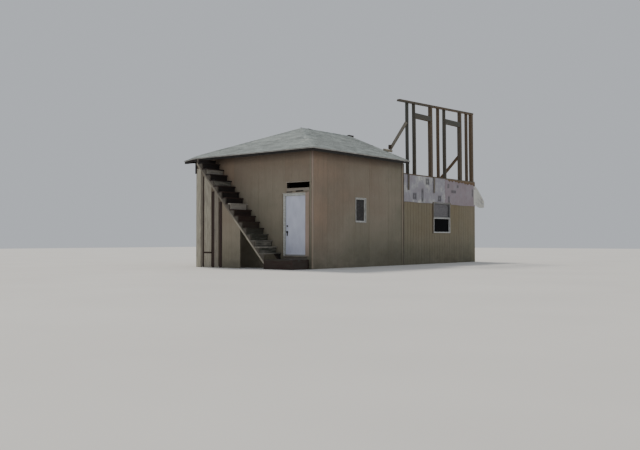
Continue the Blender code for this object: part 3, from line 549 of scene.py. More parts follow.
def spun_wrap(name):
    """Spun-bonded polyethylene house wrap, a season in the weather.

    It gives the eye a grey-lilac skin with a soft gloss, a faint weave of fibres, dust that has run down it,
    and plain dark blocks of print, faded and rubbed, where the wear attribute says.
    """
    f = Finish(name, Roughness=0.5, Sheen_Weight=0.15)
    along = f.add("UVMap", uv_map="grain")
    tone = f.add("Attribute", out="Fac", attribute_name="tone")
    ink = f.add("Attribute", out="Fac", attribute_name="wear")
    shade = f.add("Math", (f.pattern((380, 380, 300), 5, 0.6), 0.5, tone), operation="MULTIPLY_ADD")
    code = bpy.context.scene.farm_wrap.colour
    stops = ((0.3, "7E6D74"), (0.56, "8C7F86"), (0.82, code), (1.0, "CCCCC4"))
    colour = f.add("ValToRGB", (shade,), stops=stops)
    runs = f.pattern((38, 38, 600), 5)
    colour = f.veil(colour, runs, 0.52, 0.75, 0.45, "6F6A70")
    colour = f.veil(colour, runs, 0.7, 0.4, 1.0, "24222A", ink, least=0.5)
    fibre = f.pattern((6, 6, 6), 5, 0.7, along)
    return f.done(f.shaded(colour, fibre, 0.3, 0.7, 0.93, 1.05), fibre, 0.6, 0.4)


def door_enamel(name):
    """Baked white enamel on a steel door: smooth, cool white, with soft dents and rust haze at its foot."""
    f = Finish(name, Roughness=0.45)
    height = f.add("SeparateXYZ", (f.place,), "Z")
    cloud = f.pattern((260, 260, 500), 4)
    colour = f.add("ValToRGB", (cloud,), stops=((0.3, "BDC1D3"), (0.7, "D1D5E5")))
    low = f.add("MapRange", (height, 1.15, 0.45))
    colour = f.veil(colour, f.pattern((70, 70, 110), 6, 0.7), 0.5, 0.75, 0.4, "A793A8", low)
    return f.done(colour, f.pattern((180, 180, 240), 1), 3.0, 0.35)


def frame_enamel(name):
    """White vinyl of the windows: satin, with dust and grime that dull it.

    Pieces with a low tone are drawn darker, down to a dark grey.
    """
    f = Finish(name, Roughness=0.4)
    tone = f.add("Attribute", out="Fac", attribute_name="tone")
    dust = f.pattern((45, 45, 150), 6, 0.65)
    colour = f.add("ValToRGB", (dust,), stops=((0.32, "8E8C86"), (0.5, "C2C2BE"), (0.7, "D6D6D3")))
    return f.done(f.shaded(colour, tone, 0.0, 0.5, 0.12, 1.0), dust, 0.4)


def window_pane(name, code, roughness, shine):
    """Float glass before a dark room: near black, with a film of dust and the sky's reflection held down."""
    f = Finish(name, Roughness=roughness, IOR=1.38, Specular_IOR_Level=shine)
    return f.done(f.shaded(linear(code), f.pattern((120, 120, 70), 5), 0.4, 0.7, 0.8, 1.4))


def dulled_metal(name, code, roughness):
    """Handled metal, such as a knob or a nail: dark in its hollows and lighter where it is rubbed."""
    f = Finish(name, Metallic=0.9)
    rub = f.pattern((14, 14, 14), 4)
    gloss = f.add("MapRange", (rub, 0.0, 1.0, roughness - 0.1, roughness + 0.15))
    return f.done(f.shaded(linear(code), rub, 0.0, 1.0, 0.6, 1.3), gloss=gloss)


def clouded(name, size_mm, detail, stops, grain=0.5, depth_mm=0.0, **constants):
    """A finish of a few tones that follow one noise, with a bump of the same noise if it has a depth."""
    f = Finish(name, **constants)
    noise = f.pattern(size_mm, detail, grain)
    colour = f.add("ValToRGB", (noise,), stops=stops)
    return f.done(colour, noise if depth_mm else None, depth_mm)


def drip_metal(name):
    """Mill-finished aluminium drip edge, dulled by weather; it draws the pale line along the eaves."""
    f = Finish(name, Metallic=0.35)
    dull = f.pattern((260, 260, 60), 5)
    colour = f.add("ValToRGB", (dull,), stops=((0.35, "8A8883"), (0.65, "B5B2AC")))
    return f.done(colour, gloss=f.add("MapRange", (dull, 0.0, 1.0, 0.4, 0.65)))


ENAMEL = {"size_mm": (80, 200, 30), "detail": 4, "Roughness": 0.55}
FINISHES = {
    # The front half's paint, warmest under the eaves; its trim in an older, rosier coat; the annex's, greener
    "siding_paint": (painted_siding, {
        "stops": ((0.0, "98836F"), (0.25, "877969"), (0.5, "8D8474"), (0.8, "7D7868"), (1.0, "6F6B5C")),
        "groove_code": "5E5242", "grime_code": "625E4F", "streak_code": "776B59",
    }),
    "casing_paint": (painted_siding, {
        "stops": ((0.2, "A08F80"), (0.5, "AA968B"), (0.8, "A0907F")),
        "groove_code": "6E6256", "grime_code": "7A7263", "streak_code": "8E7F70",
    }),
    "annex_paint": (painted_siding, {
        "stops": ((0.2, "83775F"), (0.5, "827A66"), (0.8, "797563")),
        "groove_code": "4A3B2C", "grime_code": "5C594A", "streak_code": "675C49",
    }),
    # Construction lumber of one summer: tan where it is fresh, slate grey where it is wet
    "framing_lumber": (sawn_wood, {
        "stops": ((0.0, "4E504A"), (0.35, "5E564B"), (0.65, "6E5A44"), (1.0, "7C6448")),
        "streak_code": "3A3026", "knot_code": "2A2018",
    }),
    # Old boards: silvered ones; near-black ones for the stair and for painted shade in gaps and under the
    # eaves;
    # brown ones; and pale ones over the door
    "grey_boards": (sawn_wood, {
        "stops": ((0.0, "4F4A43"), (0.4, "726B61"), (0.7, "928B7E"), (1.0, "C4BEAA")),
        "streak_code": "3B352E", "knot_code": "2C2722", "grain_mm": 7.0, "depth_mm": 1.5,
    }),
    "dark_boards": (sawn_wood, {
        "stops": ((0.0, "1A1412"), (0.35, "38261F"), (0.7, "43443B"), (1.0, "A8A298")),
        "streak_code": "120E0B", "knot_code": "0C0908", "grain_mm": 8.0, "depth_mm": 1.5,
    }),
    "brown_boards": (sawn_wood, {
        "stops": ((0.0, "4A3C30"), (1.0, "5C4C3E")),
        "streak_code": "33291F", "knot_code": "2A2018", "grain_mm": 7.0,
    }),
    "pale_boards": (sawn_wood, {
        "stops": ((0.0, "8D857A"), (0.5, "A69F94"), (1.0, "BDB7AD")),
        "streak_code": "5A524A", "knot_code": "4A423A", "grain_mm": 6.0, "dark_share": 0.35,
    }),
    "asphalt_shingle": (asphalt_shingle, {}),
    "deck_plywood": (deck_plywood, {}),
    "spun_wrap": (spun_wrap, {}),
    "door_enamel": (door_enamel, {}),
    "frame_enamel": (frame_enamel, {}),
    "drip_metal": (drip_metal, {}),
    # Fascia boards with old paint mostly gone: chalky flakes on dark wood, drawn near black as painted shade
    # under the drip edge
    "eave_paint": (clouded, {
        "size_mm": (90, 90, 30), "detail": 6, "grain": 0.7, "depth_mm": 0.8, "Roughness": 0.75,
        "stops": ((0.4, "140F0D"), (0.6, "1F1815"), (0.74, "4C463F")),
    }),
    # Softwood plywood under the shingles, seen from below and at its edges: brown layers with dark gaps,
    # drawn very dark as painted shade under the eaves
    "sheathing_board": (clouded, {
        "size_mm": (26, 420, 8), "detail": 5, "grain": 0.6, "depth_mm": 0.7, "Roughness": 0.85,
        "stops": ((0.3, "211C17"), (0.55, "352D24"), (0.8, "463C31")),
    }),
    # Float glass that shows the blind close behind it, because part of it lets light straight through
    "clear_pane": (clouded, {
        "size_mm": (120, 120, 70), "detail": 5, "stops": ((0.3, "5A585B"), (0.7, "767478")),
        "Roughness": 0.08, "IOR": 1.45, "Alpha": 0.35, "Specular_IOR_Level": 0.2,
    }),
    # Thin baked enamel with dust lying on it, greyer on the door's frame than on the blind's slats
    "jamb_enamel": (clouded, {"stops": ((0.35, "9FA19C"), (0.65, "BFC2BD")), **ENAMEL}),
    "blind_slat": (clouded, {"stops": ((0.35, "C6C4C6"), (0.65, "E2E0E2")), **ENAMEL}),
    "dark_pane": (window_pane, {"code": "0A0A0B", "roughness": 0.1, "shine": 0.03}),
    "dusty_pane": (window_pane, {"code": "393737", "roughness": 0.3, "shine": 0.2}),
    # Bronzed brass of the knob, zinc on nails, and mill aluminium of the door's threshold and sweep
    "knob_metal": (dulled_metal, {"code": "3E3A35", "roughness": 0.38}),
    "nail_steel": (dulled_metal, {"code": "6E6A65", "roughness": 0.5}),
    "sill_aluminium": (dulled_metal, {"code": "A9A9A8", "roughness": 0.4}),
    # Pale matt studio floor, with a grain too faint to draw the eye
    "plain_floor": (clouded, {
        "size_mm": (3000, 3000, 3000), "detail": 3, "Roughness": 0.9,
        "stops": ((0.3, "D2D1CE"), (0.7, "D8D7D4")),
    }),
}
MADE = {}


def finish_of(name):
    """The material of that name, made the first time that a piece asks for it."""
    if name not in MADE:
        maker, settings = FINISHES[name]
        MADE[name] = maker(name, **settings)
    return MADE[name]


def grooved_wall(side, start, end, high, depth, holes=(), seed=1, plain=False, fade=(0.5, 0.5)):
    """A wall of grooved panels with its openings, in the plane of one side of the building.

    Across the wall the depth is a row of trapezium grooves, deeper at each panel seam; a shallow sine sag
    between the studs and a smooth random ripple are added. Both faces share one grid, whose lines run along
    each groove and each opening, and the cells inside the openings are left out. Plain panels have no groove
    but their seams. The fade is the paint's tone at both ends of the wall.
    """
    settings = bpy.context.scene.farm_siding
    edges = np.array([corner[0] for hole in holes for corner in hole] + [start, end])
    order = np.arange(int((end - start) / settings.groove_spacing))
    middle = start + settings.groove_spacing * (order + 0.5)
    clear = np.abs(middle[:, None] - edges).min(1) > 0.02
    order, middle = order[clear], middle[clear]
    seam = order % settings.grooves_a_panel == settings.grooves_a_panel // 2
    if plain:
        middle, seam = middle[seam], seam[seam]
    deep = depth * np.where(seam, 1.8, 1.0)
    corners = middle[:, None] + settings.groove_width * np.array([-0.5, -0.3, 0.3, 0.5])
    profile = deep[:, None] * np.array([0, 1, 1, 0])
    u = stations(start, end, np.append(corners, edges), 0.1)
    v = stations(0.0, high, [corner[1] for hole in holes for corner in hole], 0.22)
    groove = np.interp(u, corners.ravel(), profile.ravel())
    across, up = np.meshgrid(u, v, indexing="ij")
    sag = np.sin(math.pi * (across - start) / STUD_SPACING) ** 2
    sag = sag * (0.6 + 0.4 * field(across, up, 1.3, 1.1, seed))
    sunk = groove[:, None] + settings.bulge * (0.5 * sag + 0.5 + 0.5 * field(across, up, 1.6, 2.2, seed + 7))
    panel = np.random.default_rng(seed).uniform(-0.14, 0.14, 40)[np.searchsorted(middle[seam], across)]
    panel = panel + np.interp(across, [start, end], fade)
    worn = np.broadcast_to((groove > 0.8 * depth)[:, None], across.shape) * (0.35 if plain else 1.0)
    plane = wall_plane(side)
    keep = np.ones((len(u) - 1, len(v) - 1), bool)
    cell_u, cell_v = (u[:-1, None] + u[1:, None]) / 2, (v[None, :-1] + v[None, 1:]) / 2
    for (u0, v0), (u1, v1) in holes:
        keep &= ~((cell_u > u0) & (cell_u < u1) & (cell_v > v0) & (cell_v < v1))
    return thick_sheet(plane(across, up, -sunk), plane(across, up, -WALL), panel, worn, keep)


def opening(node):
    """The opening that a window fills in the right wall, as two corners in the wall's plane."""
    low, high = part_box(node)
    return (low.y - SEAT, low.z - SEAT), (high.y + SEAT, high.z + SEAT)


def upright_boards(side, middle, wide, seed, low=0.02, high=MAIN_HIGH.z - 0.004, thin=TRIM):
    """Upright boards on a wall's face, from their middles and their width across the wall."""
    middle = np.array(middle)
    plane = wall_plane(side)
    foot, head = (plane(middle, z, thin / 2) for z in (low, high))
    direction = plane(1.0, 0.0, 0.0) - plane(0.0, 0.0, 0.0)
    tone = np.random.default_rng(seed).uniform(0.3, 0.8, len(middle))
    return boards(foot, head, direction, wide, thin, tone, ease=0.002, seed=seed)


class OBJECT_OT_farm_front_half(bpy.types.Operator):
    """Side the hip-roofed half with painted panels round its doorway, its slot and its narrow window"""

    bl_idname = "object.farm_front_half"
    bl_label = "Front half siding"

    def execute(self, context):
        settings = context.scene.farm_siding
        near, far, high = MAIN_LOW.y, MAIN_HIGH.y, MAIN_HIGH.z
        doorway = ((DOORWAY_LEFT, 0.0), (DOORWAY_RIGHT, DOORWAY_TOP))
        front_nodes = ["front_wall_left", "front_wall_right", "front_wall_over_door"]
        window = opening("window_narrow_frame")
        walls = (
            ("front", -RIGHT, RIGHT, [doorway, SLOT], 3, (0.5, 0.42), front_nodes),
            ("right", near, far, [window], 11, (0.1, 0.95), ["right_wall_main"]),
            ("left", -far, -near, [], 17, (0.5, 0.5), ["left_wall_main"]),
        )
        for side, start, end, holes, seed, fade, nodes in walls:
            wall = grooved_wall(side, start, end, high, settings.main_groove_depth, holes, seed, True, fade)
            add_piece(side + "_siding", wall, "siding_paint", nodes)
        dress("cross_wall", "siding_paint")

        # Boards at the corners, and others that cover the joint with the annex
        wide, cover, joint_at = settings.corner_width, 0.075, 0.03
        edge = RIGHT - wide / 2
        trims = [
            upright_boards("front", [-edge, edge], wide, 5),
            upright_boards("right", [-joint_at], cover, 6),
            upright_boards("left", [-FRONT - wide / 2, joint_at], (wide, cover), 8),
        ]
        add_piece("corner_boards", gathered(trims), "siding_paint")
        near_board = upright_boards("right", [FRONT + wide / 2], wide, 13)
        add_piece("near_corner_board", near_board, "casing_paint")
        strip_at, strip_wide, strip_thin = 0.072, 0.032, 0.012
        strip = upright_boards("right", [strip_at], strip_wide, 9, thin=strip_thin)
        add_piece("joint_strip", strip, "dark_boards")
        return {"FINISHED"}


class OBJECT_OT_farm_annex(bpy.types.Operator):
    """Side the annex with deeply grooved panels, up to its deck"""

    bl_idname = "object.farm_annex"
    bl_label = "Annex siding"

    def execute(self, context):
        depth = context.scene.farm_siding.annex_groove_depth
        window = opening("window_wide_frame")
        near, far = ANNEX_LOW.y, ANNEX_HIGH.y
        walls = (
            ("right", near, far, [window], 23),
            ("left", -far, -near, [], 29),
            ("back", -RIGHT, RIGHT, [], 31),
        )
        for side, start, end, holes, seed in walls:
            wall = grooved_wall(side, start, end, ANNEX_HIGH.z, depth, holes, seed)
            add_piece(f"annex_{side}_siding", wall, "annex_paint", [f"{side}_wall_annex"])
        (edge, low), (_, high) = window
        beside, wide, thin = edge - 0.07, 0.05, 0.010
        strip = upright_boards("right", [beside], wide, 33, low - 0.03, high + 0.02, thin)
        add_piece("window_side_strip", strip, "brown_boards")
        return {"FINISHED"}


# A shingle's thickness, how far it goes under the next course, and how far the corner's sag reaches
SHINGLE, OVERLAP, SAG_REACH = 0.0055, 0.03, 0.32


def settled(points):
    """Lets the roof sag at its front left corner, by a bell curve of the distance from that corner."""
    depth = bpy.context.scene.farm_roof.corner_sag
    away = (points[..., 0] + EAVE_X) ** 2 + (points[..., 1] - EAVE_Y) ** 2
    points[..., 2] -= depth * np.exp(-away / SAG_REACH**2)
    return points


def slope_place(side):
    """Turns (along the eave, distance in from it, lift) into places over the front, right or left slope."""
    turn = {
        "front": lambda a, i, up: at(a, EAVE_Y + i, roof_top(i) + up),
        "right": lambda a, i, up: at(EAVE_X - i, EAVE_Y + a, roof_top(i) + up),
        "left": lambda a, i, up: at(i - EAVE_X, EAVE_Y + a, roof_top(i) + up),
    }
    return lambda a, i, up: settled(turn[side](a, i, up))


def slope_ends(side, inward):
    """Both ends of a slope at a distance in from its eave: two hips, or a hip and the cut end."""
    if side == "front":
        return inward - EAVE_X, EAVE_X - inward
    return inward, RAKE_EAVE - EAVE_Y + (RAKE_RIDGE - RAKE_EAVE) * inward / EAVE_X


def roof_boards(side):
    """The boards of one slope: a flat sheet between its ends, 6 mm short of the metal at its edges."""
    inward = np.linspace(0.006, EAVE_X - 0.012, 31)[None, :]
    share = np.linspace(0, 1, 49)[:, None]
    first, last = slope_ends(side, inward)
    last = last - (0 if side == "front" else 0.006)
    along = first + share * (last - first)
    place = slope_place(side)
    return thick_sheet(place(along, inward, -0.001), place(along, inward, 0.001 - ROOF_SKIN))


def shingle_tabs(side, seed):
    """The tabs of one slope, course over course.

    Each tab is a thin slab that rises evenly from the boards at its hidden head to the butt's height at its
    foot, with a small random curl there. Its ends are held between the hips or the cut end, so that the tabs
    there are cut to the roof's line, and each course moves on by half a tab.
    """
    settings = bpy.context.scene.farm_roof
    random = np.random.default_rng(seed)
    course = settings.exposure * math.cos(math.atan(PITCH))
    rows = int((EAVE_X - OVERLAP - 0.01) / course)
    left, right = slope_ends(side, 0.0)
    columns = int((right - left) / settings.tab_width) + 3
    k, j = (value.ravel() for value in np.meshgrid(np.arange(rows), np.arange(columns), indexing="ij"))
    count = k.size
    start = left + (j - 0.5 * (k % 2) - 0.8) * settings.tab_width + random.uniform(-0.005, 0.005, count)
    a = np.array([0, 0.5, 1])[None, :, None]
    b = np.array([0, 0.5, 1])[None, None, :]
    low = np.maximum(k * course + random.uniform(-0.004, 0.004, count), 0.001)[:, None, None]
    inward = low + b * ((k + 1)[:, None, None] * course + OVERLAP - low)
    along = start[:, None, None] + a * (settings.tab_width - 0.005) + 0 * inward
    first, last = slope_ends(side, inward)
    tiny = np.array([0, 0.002, 0.004])[None, :, None]
    along = np.minimum(np.maximum(along, first + tiny), last - tiny[:, ::-1])
    wide = along[:, 2, 0] - along[:, 0, 0] > 0.03
    curl = random.gamma(1.2, 0.0012, count)[:, None, None] * (1 - b) ** 2
    outer = 0.0008 + settings.butt * (1 - b) + 0.002 * b + curl
    inner = 0.0002 + (settings.butt - SHINGLE) * (1 - b) + curl
    place = slope_place(side)
    # Painted shade: the right slope's tabs get a lower, darker tone, as that slope faces away from the high
    # light
    shade = 0.36 if side == "right" else 0.5
    tone = np.clip(shade + random.normal(0, 0.1, count) + 0.05 * np.sin(k * 1.7), 0.15, 0.8)
    return thick_sheet(place(along, inward, outer)[wide], place(along, inward, inner)[wide], tone[wide])


def cap_row(corner, direction, inward_of, last, seed, first=0.0):
    """Folded caps along a hip or the ridge, each over the one below it.

    A cap is a strip of five lines across the fold. Its height is the roof's own at that distance in from the
    eave, plus a lift that is greatest at its foot; the fold itself is rounded off.
    """
    settings = bpy.context.scene.farm_roof
    random = np.random.default_rng(seed)
    start = np.arange(first, last - 0.05, settings.exposure)[:, None, None]
    count = len(start)
    direction = np.array([*direction, 0.0]) / math.hypot(*direction)
    sideways = np.array([-direction[1], direction[0], 0.0])
    b = np.array([0, 1.0])[None, None, :]
    t = np.minimum(start + b * (settings.exposure + 0.05), last)
    reach = settings.cap_reach + random.uniform(-0.006, 0.006, (count, 1, 1))
    across = np.array([-1, -0.5, 0, 0.5, 1])[None, :, None] * np.minimum(reach, np.maximum(t - 0.004, 0.01))
    t = t + 0 * across
    plan = np.array([*corner, 0.0]) + t[..., None] * direction + across[..., None] * sideways
    rounded = -0.005 * np.exp(-((across / 0.02) ** 2))
    lift = 0.017 - 0.007 * b + rounded + random.gamma(1.2, 0.0015, (count, 1, 1)) * (1 - b)
    height = roof_top(inward_of(t, np.abs(across)))
    up = np.array([0, 0, 1.0])
    outer = settled(plan + (height + lift)[..., None] * up)
    tone = np.clip(0.55 + random.normal(0, 0.12, count), 0.2, 0.9)
    return thick_sheet(outer, outer - SHINGLE * up, tone)


def eave_run(section, first=0.0, last=3.0, tone=0.5, setback=0.0):
    """A section carried along the three eaves with mitred corners.

    Places count 0 to 1 along the right eave from its cut end, 1 to 2 along the front and 2 to 3 along the
    left. Each section point is (distance in from the eave, height from the roof boards' top there).
    """
    inward, up = np.array(section, float).T[:, None, :]
    s = np.unique(np.concatenate([np.linspace(0, 3, 121), [first, last]]))
    s = s[(s >= first) & (s <= last)]
    x = np.interp(s, [1, 2], [1, -1])[:, None] * (EAVE_X - inward)
    cut_share = np.interp(s, [0, 1, 2, 3], [1, 0, 0, 1])[:, None]
    y = EAVE_Y + inward + cut_share * (RAKE_EAVE - setback - EAVE_Y - inward)
    return Shape(settled(at(x, y, roof_top(inward) + up)), tube_faces(*x.shape), None, tone)


class OBJECT_OT_farm_roof(bpy.types.Operator):
    """Lay the roof boards, the shingle tabs, and the caps on hips and ridge"""

    bl_idname = "object.farm_roof"
    bl_label = "Roof"

    def execute(self, context):
        for number, side in enumerate(("front", "right", "left")):
            slope = roof_boards(side)
            add_piece("roof_boards_" + side, slope, "sheathing_board", ["roof_" + side])
            add_piece("shingles_" + side, shingle_tabs(side, 40 + number), "asphalt_shingle")
        hip = EAVE_X * math.sqrt(2) - 0.02
        half = math.sqrt(0.5)

        def over_hip(t, off):
            return (t - off) * half

        def over_ridge(t, off):
            return EAVE_X - off

        rows = [
            cap_row((EAVE_X, EAVE_Y), (-1, 1), over_hip, hip, 51, 0.02),
            cap_row((-EAVE_X, EAVE_Y), (1, 1), over_hip, hip, 52, 0.02),
            cap_row((0, APEX_Y - 0.07), (0, 1), over_ridge, RAKE_RIDGE - APEX_Y + 0.06, 53),
        ]
        add_piece("hip_and_ridge_caps", gathered(rows), "asphalt_shingle")
        peak = roof_top(EAVE_X) + 0.01
        ends = ((0, RAKE_RIDGE - 0.12, peak), (0, RAKE_RIDGE + 0.2, peak))
        block = boards(*ends, (1, 0, 0), 0.09, 0.07, 0.3, seed=54)
        add_piece("ridge_end_block", block, "dark_boards")
        return {"FINISHED"}


class OBJECT_OT_farm_eaves(bpy.types.Operator):
    """Nail the fascia boards and the drip edge along eaves and cut ends, and finish the rafters"""

    bl_idname = "object.farm_eaves"
    bl_label = "Eaves"

    def execute(self, context):
        low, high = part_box("fascia")
        outer = EAVE_X - high.x
        inward = np.array([outer, outer + 0.02, outer + 0.02, outer])
        height = np.array([low.z, low.z, high.z, high.z]) - roof_top(0) - PITCH * inward
        section = np.stack([inward, height], -1)
        runs = ((0.0, 0.655), (0.657, 1.38), (1.382, 1.98), (1.982, 2.42), (2.422, 3.0))
        tones = (0.4, 0.7, 0.55, 0.3, 0.5)
        lengths = [eave_run(section, *run, tone, 0.016) for run, tone in zip(runs, tones)]
        add_piece("fascia_boards", gathered(lengths), "eave_paint", ["fascia"])

        foot = 0.004 - ROOF_SKIN
        section = [(0.0006, 0.0012), (0.0006, foot), (0.0026, foot)]
        section += [(0.0026, -0.0006), (0.06, -0.0006), (0.06, 0.001)]
        metal = [eave_run(section, setback=0.004)]
        low, peak = roof_top(0) - ROOF_SKIN / 2, roof_top(EAVE_X) - ROOF_SKIN / 2
        starts = [(sign * (EAVE_X - 0.003), RAKE_EAVE - 0.002, low) for sign in (1, -1)]
        ends = [(sign * 0.006, RAKE_RIDGE - 0.002, peak) for sign in (1, -1)]
        metal.append(boards(starts, ends, (0, 0, 1), ROOF_SKIN + 0.012, 0.002, ease=0.0004))
        add_piece("drip_edge", gathered(metal), "drip_metal")
        for side in ("right", "left", "front"):
            dress("rafters_" + side, "framing_lumber")
        return {"FINISHED"}


# Thickness of a riser, and the depth of wood left under a stringer's notches
RISER_BOARD, THROAT = 0.020, 0.085


def stringer_line(x):
    """Height of the stringers' lower edge at a place along the front."""
    settings = bpy.context.scene.farm_stair
    return STRINGER_LOW.z + (STRINGER_HIGH.x - x) * settings.riser / settings.going


class OBJECT_OT_farm_stair(bpy.types.Operator):
    """Build the stair from boards: two notched stringers, treads of two boards, risers and the stoop"""

    bl_idname = "object.farm_stair"
    bl_label = "Outside stair"

    def execute(self, context):
        settings = context.scene.farm_stair
        random = np.random.default_rng(61)
        thin = settings.tread_thickness
        nosing = STAIR_STEP_X - settings.going * np.arange(STEPS)
        tops = STAIR_STEP_Z + settings.riser * np.arange(STEPS)
        near, far = STAIR_LOW.y + 0.001, STAIR_HIGH.y - 0.001
        wide = (settings.tread_depth - 0.008) / 2
        x = np.concatenate([nosing - wide / 2, nosing - settings.tread_depth + wide / 2])
        z = np.tile(tops - thin / 2, 2) - random.uniform(0, 0.004, 2 * STEPS)
        skew = random.uniform(-0.004, 0.004, 2 * STEPS)
        # Painted shade: the treads, and the risers taken from them, darken from pale at the foot to near
        # black at the head, under the eaves
        tone = np.interp(np.arange(STEPS), [0, 3, 6, 9, STEPS], [0.82, 0.72, 0.36, 0.22, 0.02])
        tone = np.tile(tone, 2) + random.uniform(-0.08, 0.08, 2 * STEPS)
        tone[8] = 0.95
        ends = at(x, near, z + skew), at(x, far, z - skew)
        treads = boards(*ends, (1, 0, 0), wide, thin, tone, rows=4, seed=62)

        low = tops[:-1] + 0.001
        high = tops[:-1] + settings.riser - thin - 0.002
        near, far = STRINGER_HIGH.y + 2 * SEAT, STAIR_HIGH.y - 0.039
        ends = (at(nosing[:-1] - settings.going - 0.035, y, (low + high) / 2) for y in (near, far))
        tone = tone[: STEPS - 1] - 0.1 + random.uniform(0, 0.05, STEPS - 1)
        tone[7:14] = (1.0, 0.02, 0.02, 0.02, 0.8, 0.02, 0.9)
        risers = boards(*ends, (0, 0, 1), high - low, RISER_BOARD, tone, rows=4, seed=63)

        # A near-black board over the stair's head and a short near-black post in front of it: painted shade
        # under the eaves
        ends = ((nosing[-1] - settings.tread_depth + 0.02, y, tops[-1] + 0.072) for y in (near, far))
        shade_board = boards(*ends, (0, 0, 1), 0.138, RISER_BOARD, 0.05, seed=68)
        post_low, post_high = 3.33, 3.72
        ends = ((STRINGER_LOW.x - 0.045, near - 0.02, height) for height in (post_low, post_high))
        shade_post = boards(*ends, (1, 0, 0), 0.088, LUMBER, 0.0, seed=69)
        inner = self.stringer(STAIR_HIGH.y - LUMBER, STAIR_HIGH.y, 0.3, 64)
        steps = gathered([treads, risers, inner, shade_board, shade_post])
        add_piece("stair_steps", steps, "dark_boards", ["stair_flight", "inner_stringer"])
        outer = self.stringer(STRINGER_LOW.y, STRINGER_HIGH.y, 0.62, 65)
        add_piece("stair_stringer", outer, "grey_boards", ["outer_stringer"])
        add_piece("stoop_boards", self.stoop(), "dark_boards", ["stoop"])
        return {"FINISHED"}

    def stringer(self, near, far, tone, seed):
        """A board on edge, straight below and notched under every tread.

        It is a grid over the run, with two stations at each plumb cut, and of rows that follow the lower edge
        up to the notches and then spread to the seats, which are worn by a few millimetres.
        """
        settings = bpy.context.scene.farm_stair
        steps = np.arange(STEPS)
        backs = STAIR_STEP_X - settings.going * steps - settings.tread_depth - SEAT
        cuts = np.concatenate([backs - 0.0002, backs + 0.0002])
        run = np.sort(np.concatenate([np.linspace(STRINGER_LOW.x, STRINGER_HIGH.x, 40), cuts]))[::-1]
        low = stringer_line(run)
        seats = STAIR_STEP_Z + settings.riser * steps - settings.tread_thickness - 2 * SEAT
        passed = (run[:, None] < backs).sum(1)
        worn = 0.002 * (1 + field(run, 0 * run, 0.4, 1, seed))
        high = np.append(seats, STRINGER_HIGH.z)[passed] - worn
        spread = np.array([0, 0, 0, 0.08, 0.5, 1]) * (high - low - THROAT)[:, None]
        z = low[:, None] + np.array([0, 0.5, 1, 1, 1, 1]) * THROAT + spread
        # Painted light: the lower edge is drawn pale in the stretches where the sun catches it, and the
        # notched part above it near black, as painted shade under the treads
        lit_share = np.interp(-run, [-1.4, -0.1, 0.3, 1.2, 1.6, 1.85], [0.85, 0.85, 0.4, 0.6, 0.5, 0.9])
        shade = tone * (0.1 + np.array([1.5, 1.4, 1.1, 0.1, 0, 0]) * lit_share[:, None])
        sheet = thick_sheet(at(run[:, None], near, z), at(run[:, None], far, z), shade)
        slope = math.atan2(run[0] - run[-1], low[-1] - low[0])
        x, y, height = sheet.points[np.concatenate([f.ravel() for f in sheet.faces])].T
        along = height * math.cos(slope) - x * math.sin(slope)
        over = x * math.cos(slope) + height * math.sin(slope) + y
        sheet.grain = [np.stack([over, along], -1).reshape(-1, 4, 2)]
        return sheet

    def stoop(self):
        """Boards laid across the stoop, on a rim of boards on edge."""
        low, high = STOOP_LOW, STOOP_HIGH
        tones = (0.5, 0.35, 0.7, 0.3, 0.55, 0.4)
        pitch = (high.y - low.y) / len(tones)
        y = low.y + pitch * (np.arange(len(tones)) + 0.5)
        ends = (at(x, y, high.z - LUMBER / 2) for x in (low.x, high.x))
        deck = boards(*ends, (0, 1, 0), pitch - 0.006, LUMBER, tones, seed=66)
        tall = high.z - LUMBER - SEAT
        left, right = low.x + LUMBER / 2, high.x - LUMBER / 2
        front, back = low.y + LUMBER / 2, high.y - LUMBER / 2
        starts = at((low.x, low.x, left, right), (front, back, front + 0.02, front + 0.02), tall / 2)
        ends = at((high.x, high.x, left, right), (front, back, back - 0.02, back - 0.02), tall / 2)
        rim = boards(starts, ends, (0, 0, 1), tall, LUMBER, (0.4, 0.2, 0.5, 0.45), seed=67)
        return gathered([deck, rim])


# Near-black boards behind the upright ones, standing in for the shade seen through the gaps: painted shade.
# For each, the middle, width, foot and head. None is just under the stringer
GAP_SHADE_BOARDS = (
    (-1.515, 0.09, 0.0, None),
    (-1.035, 0.17, 0.0, None),
    (-0.67, 0.13, 0.0, None),
    (-1.295, 0.36, 0.44, 0.60),
)


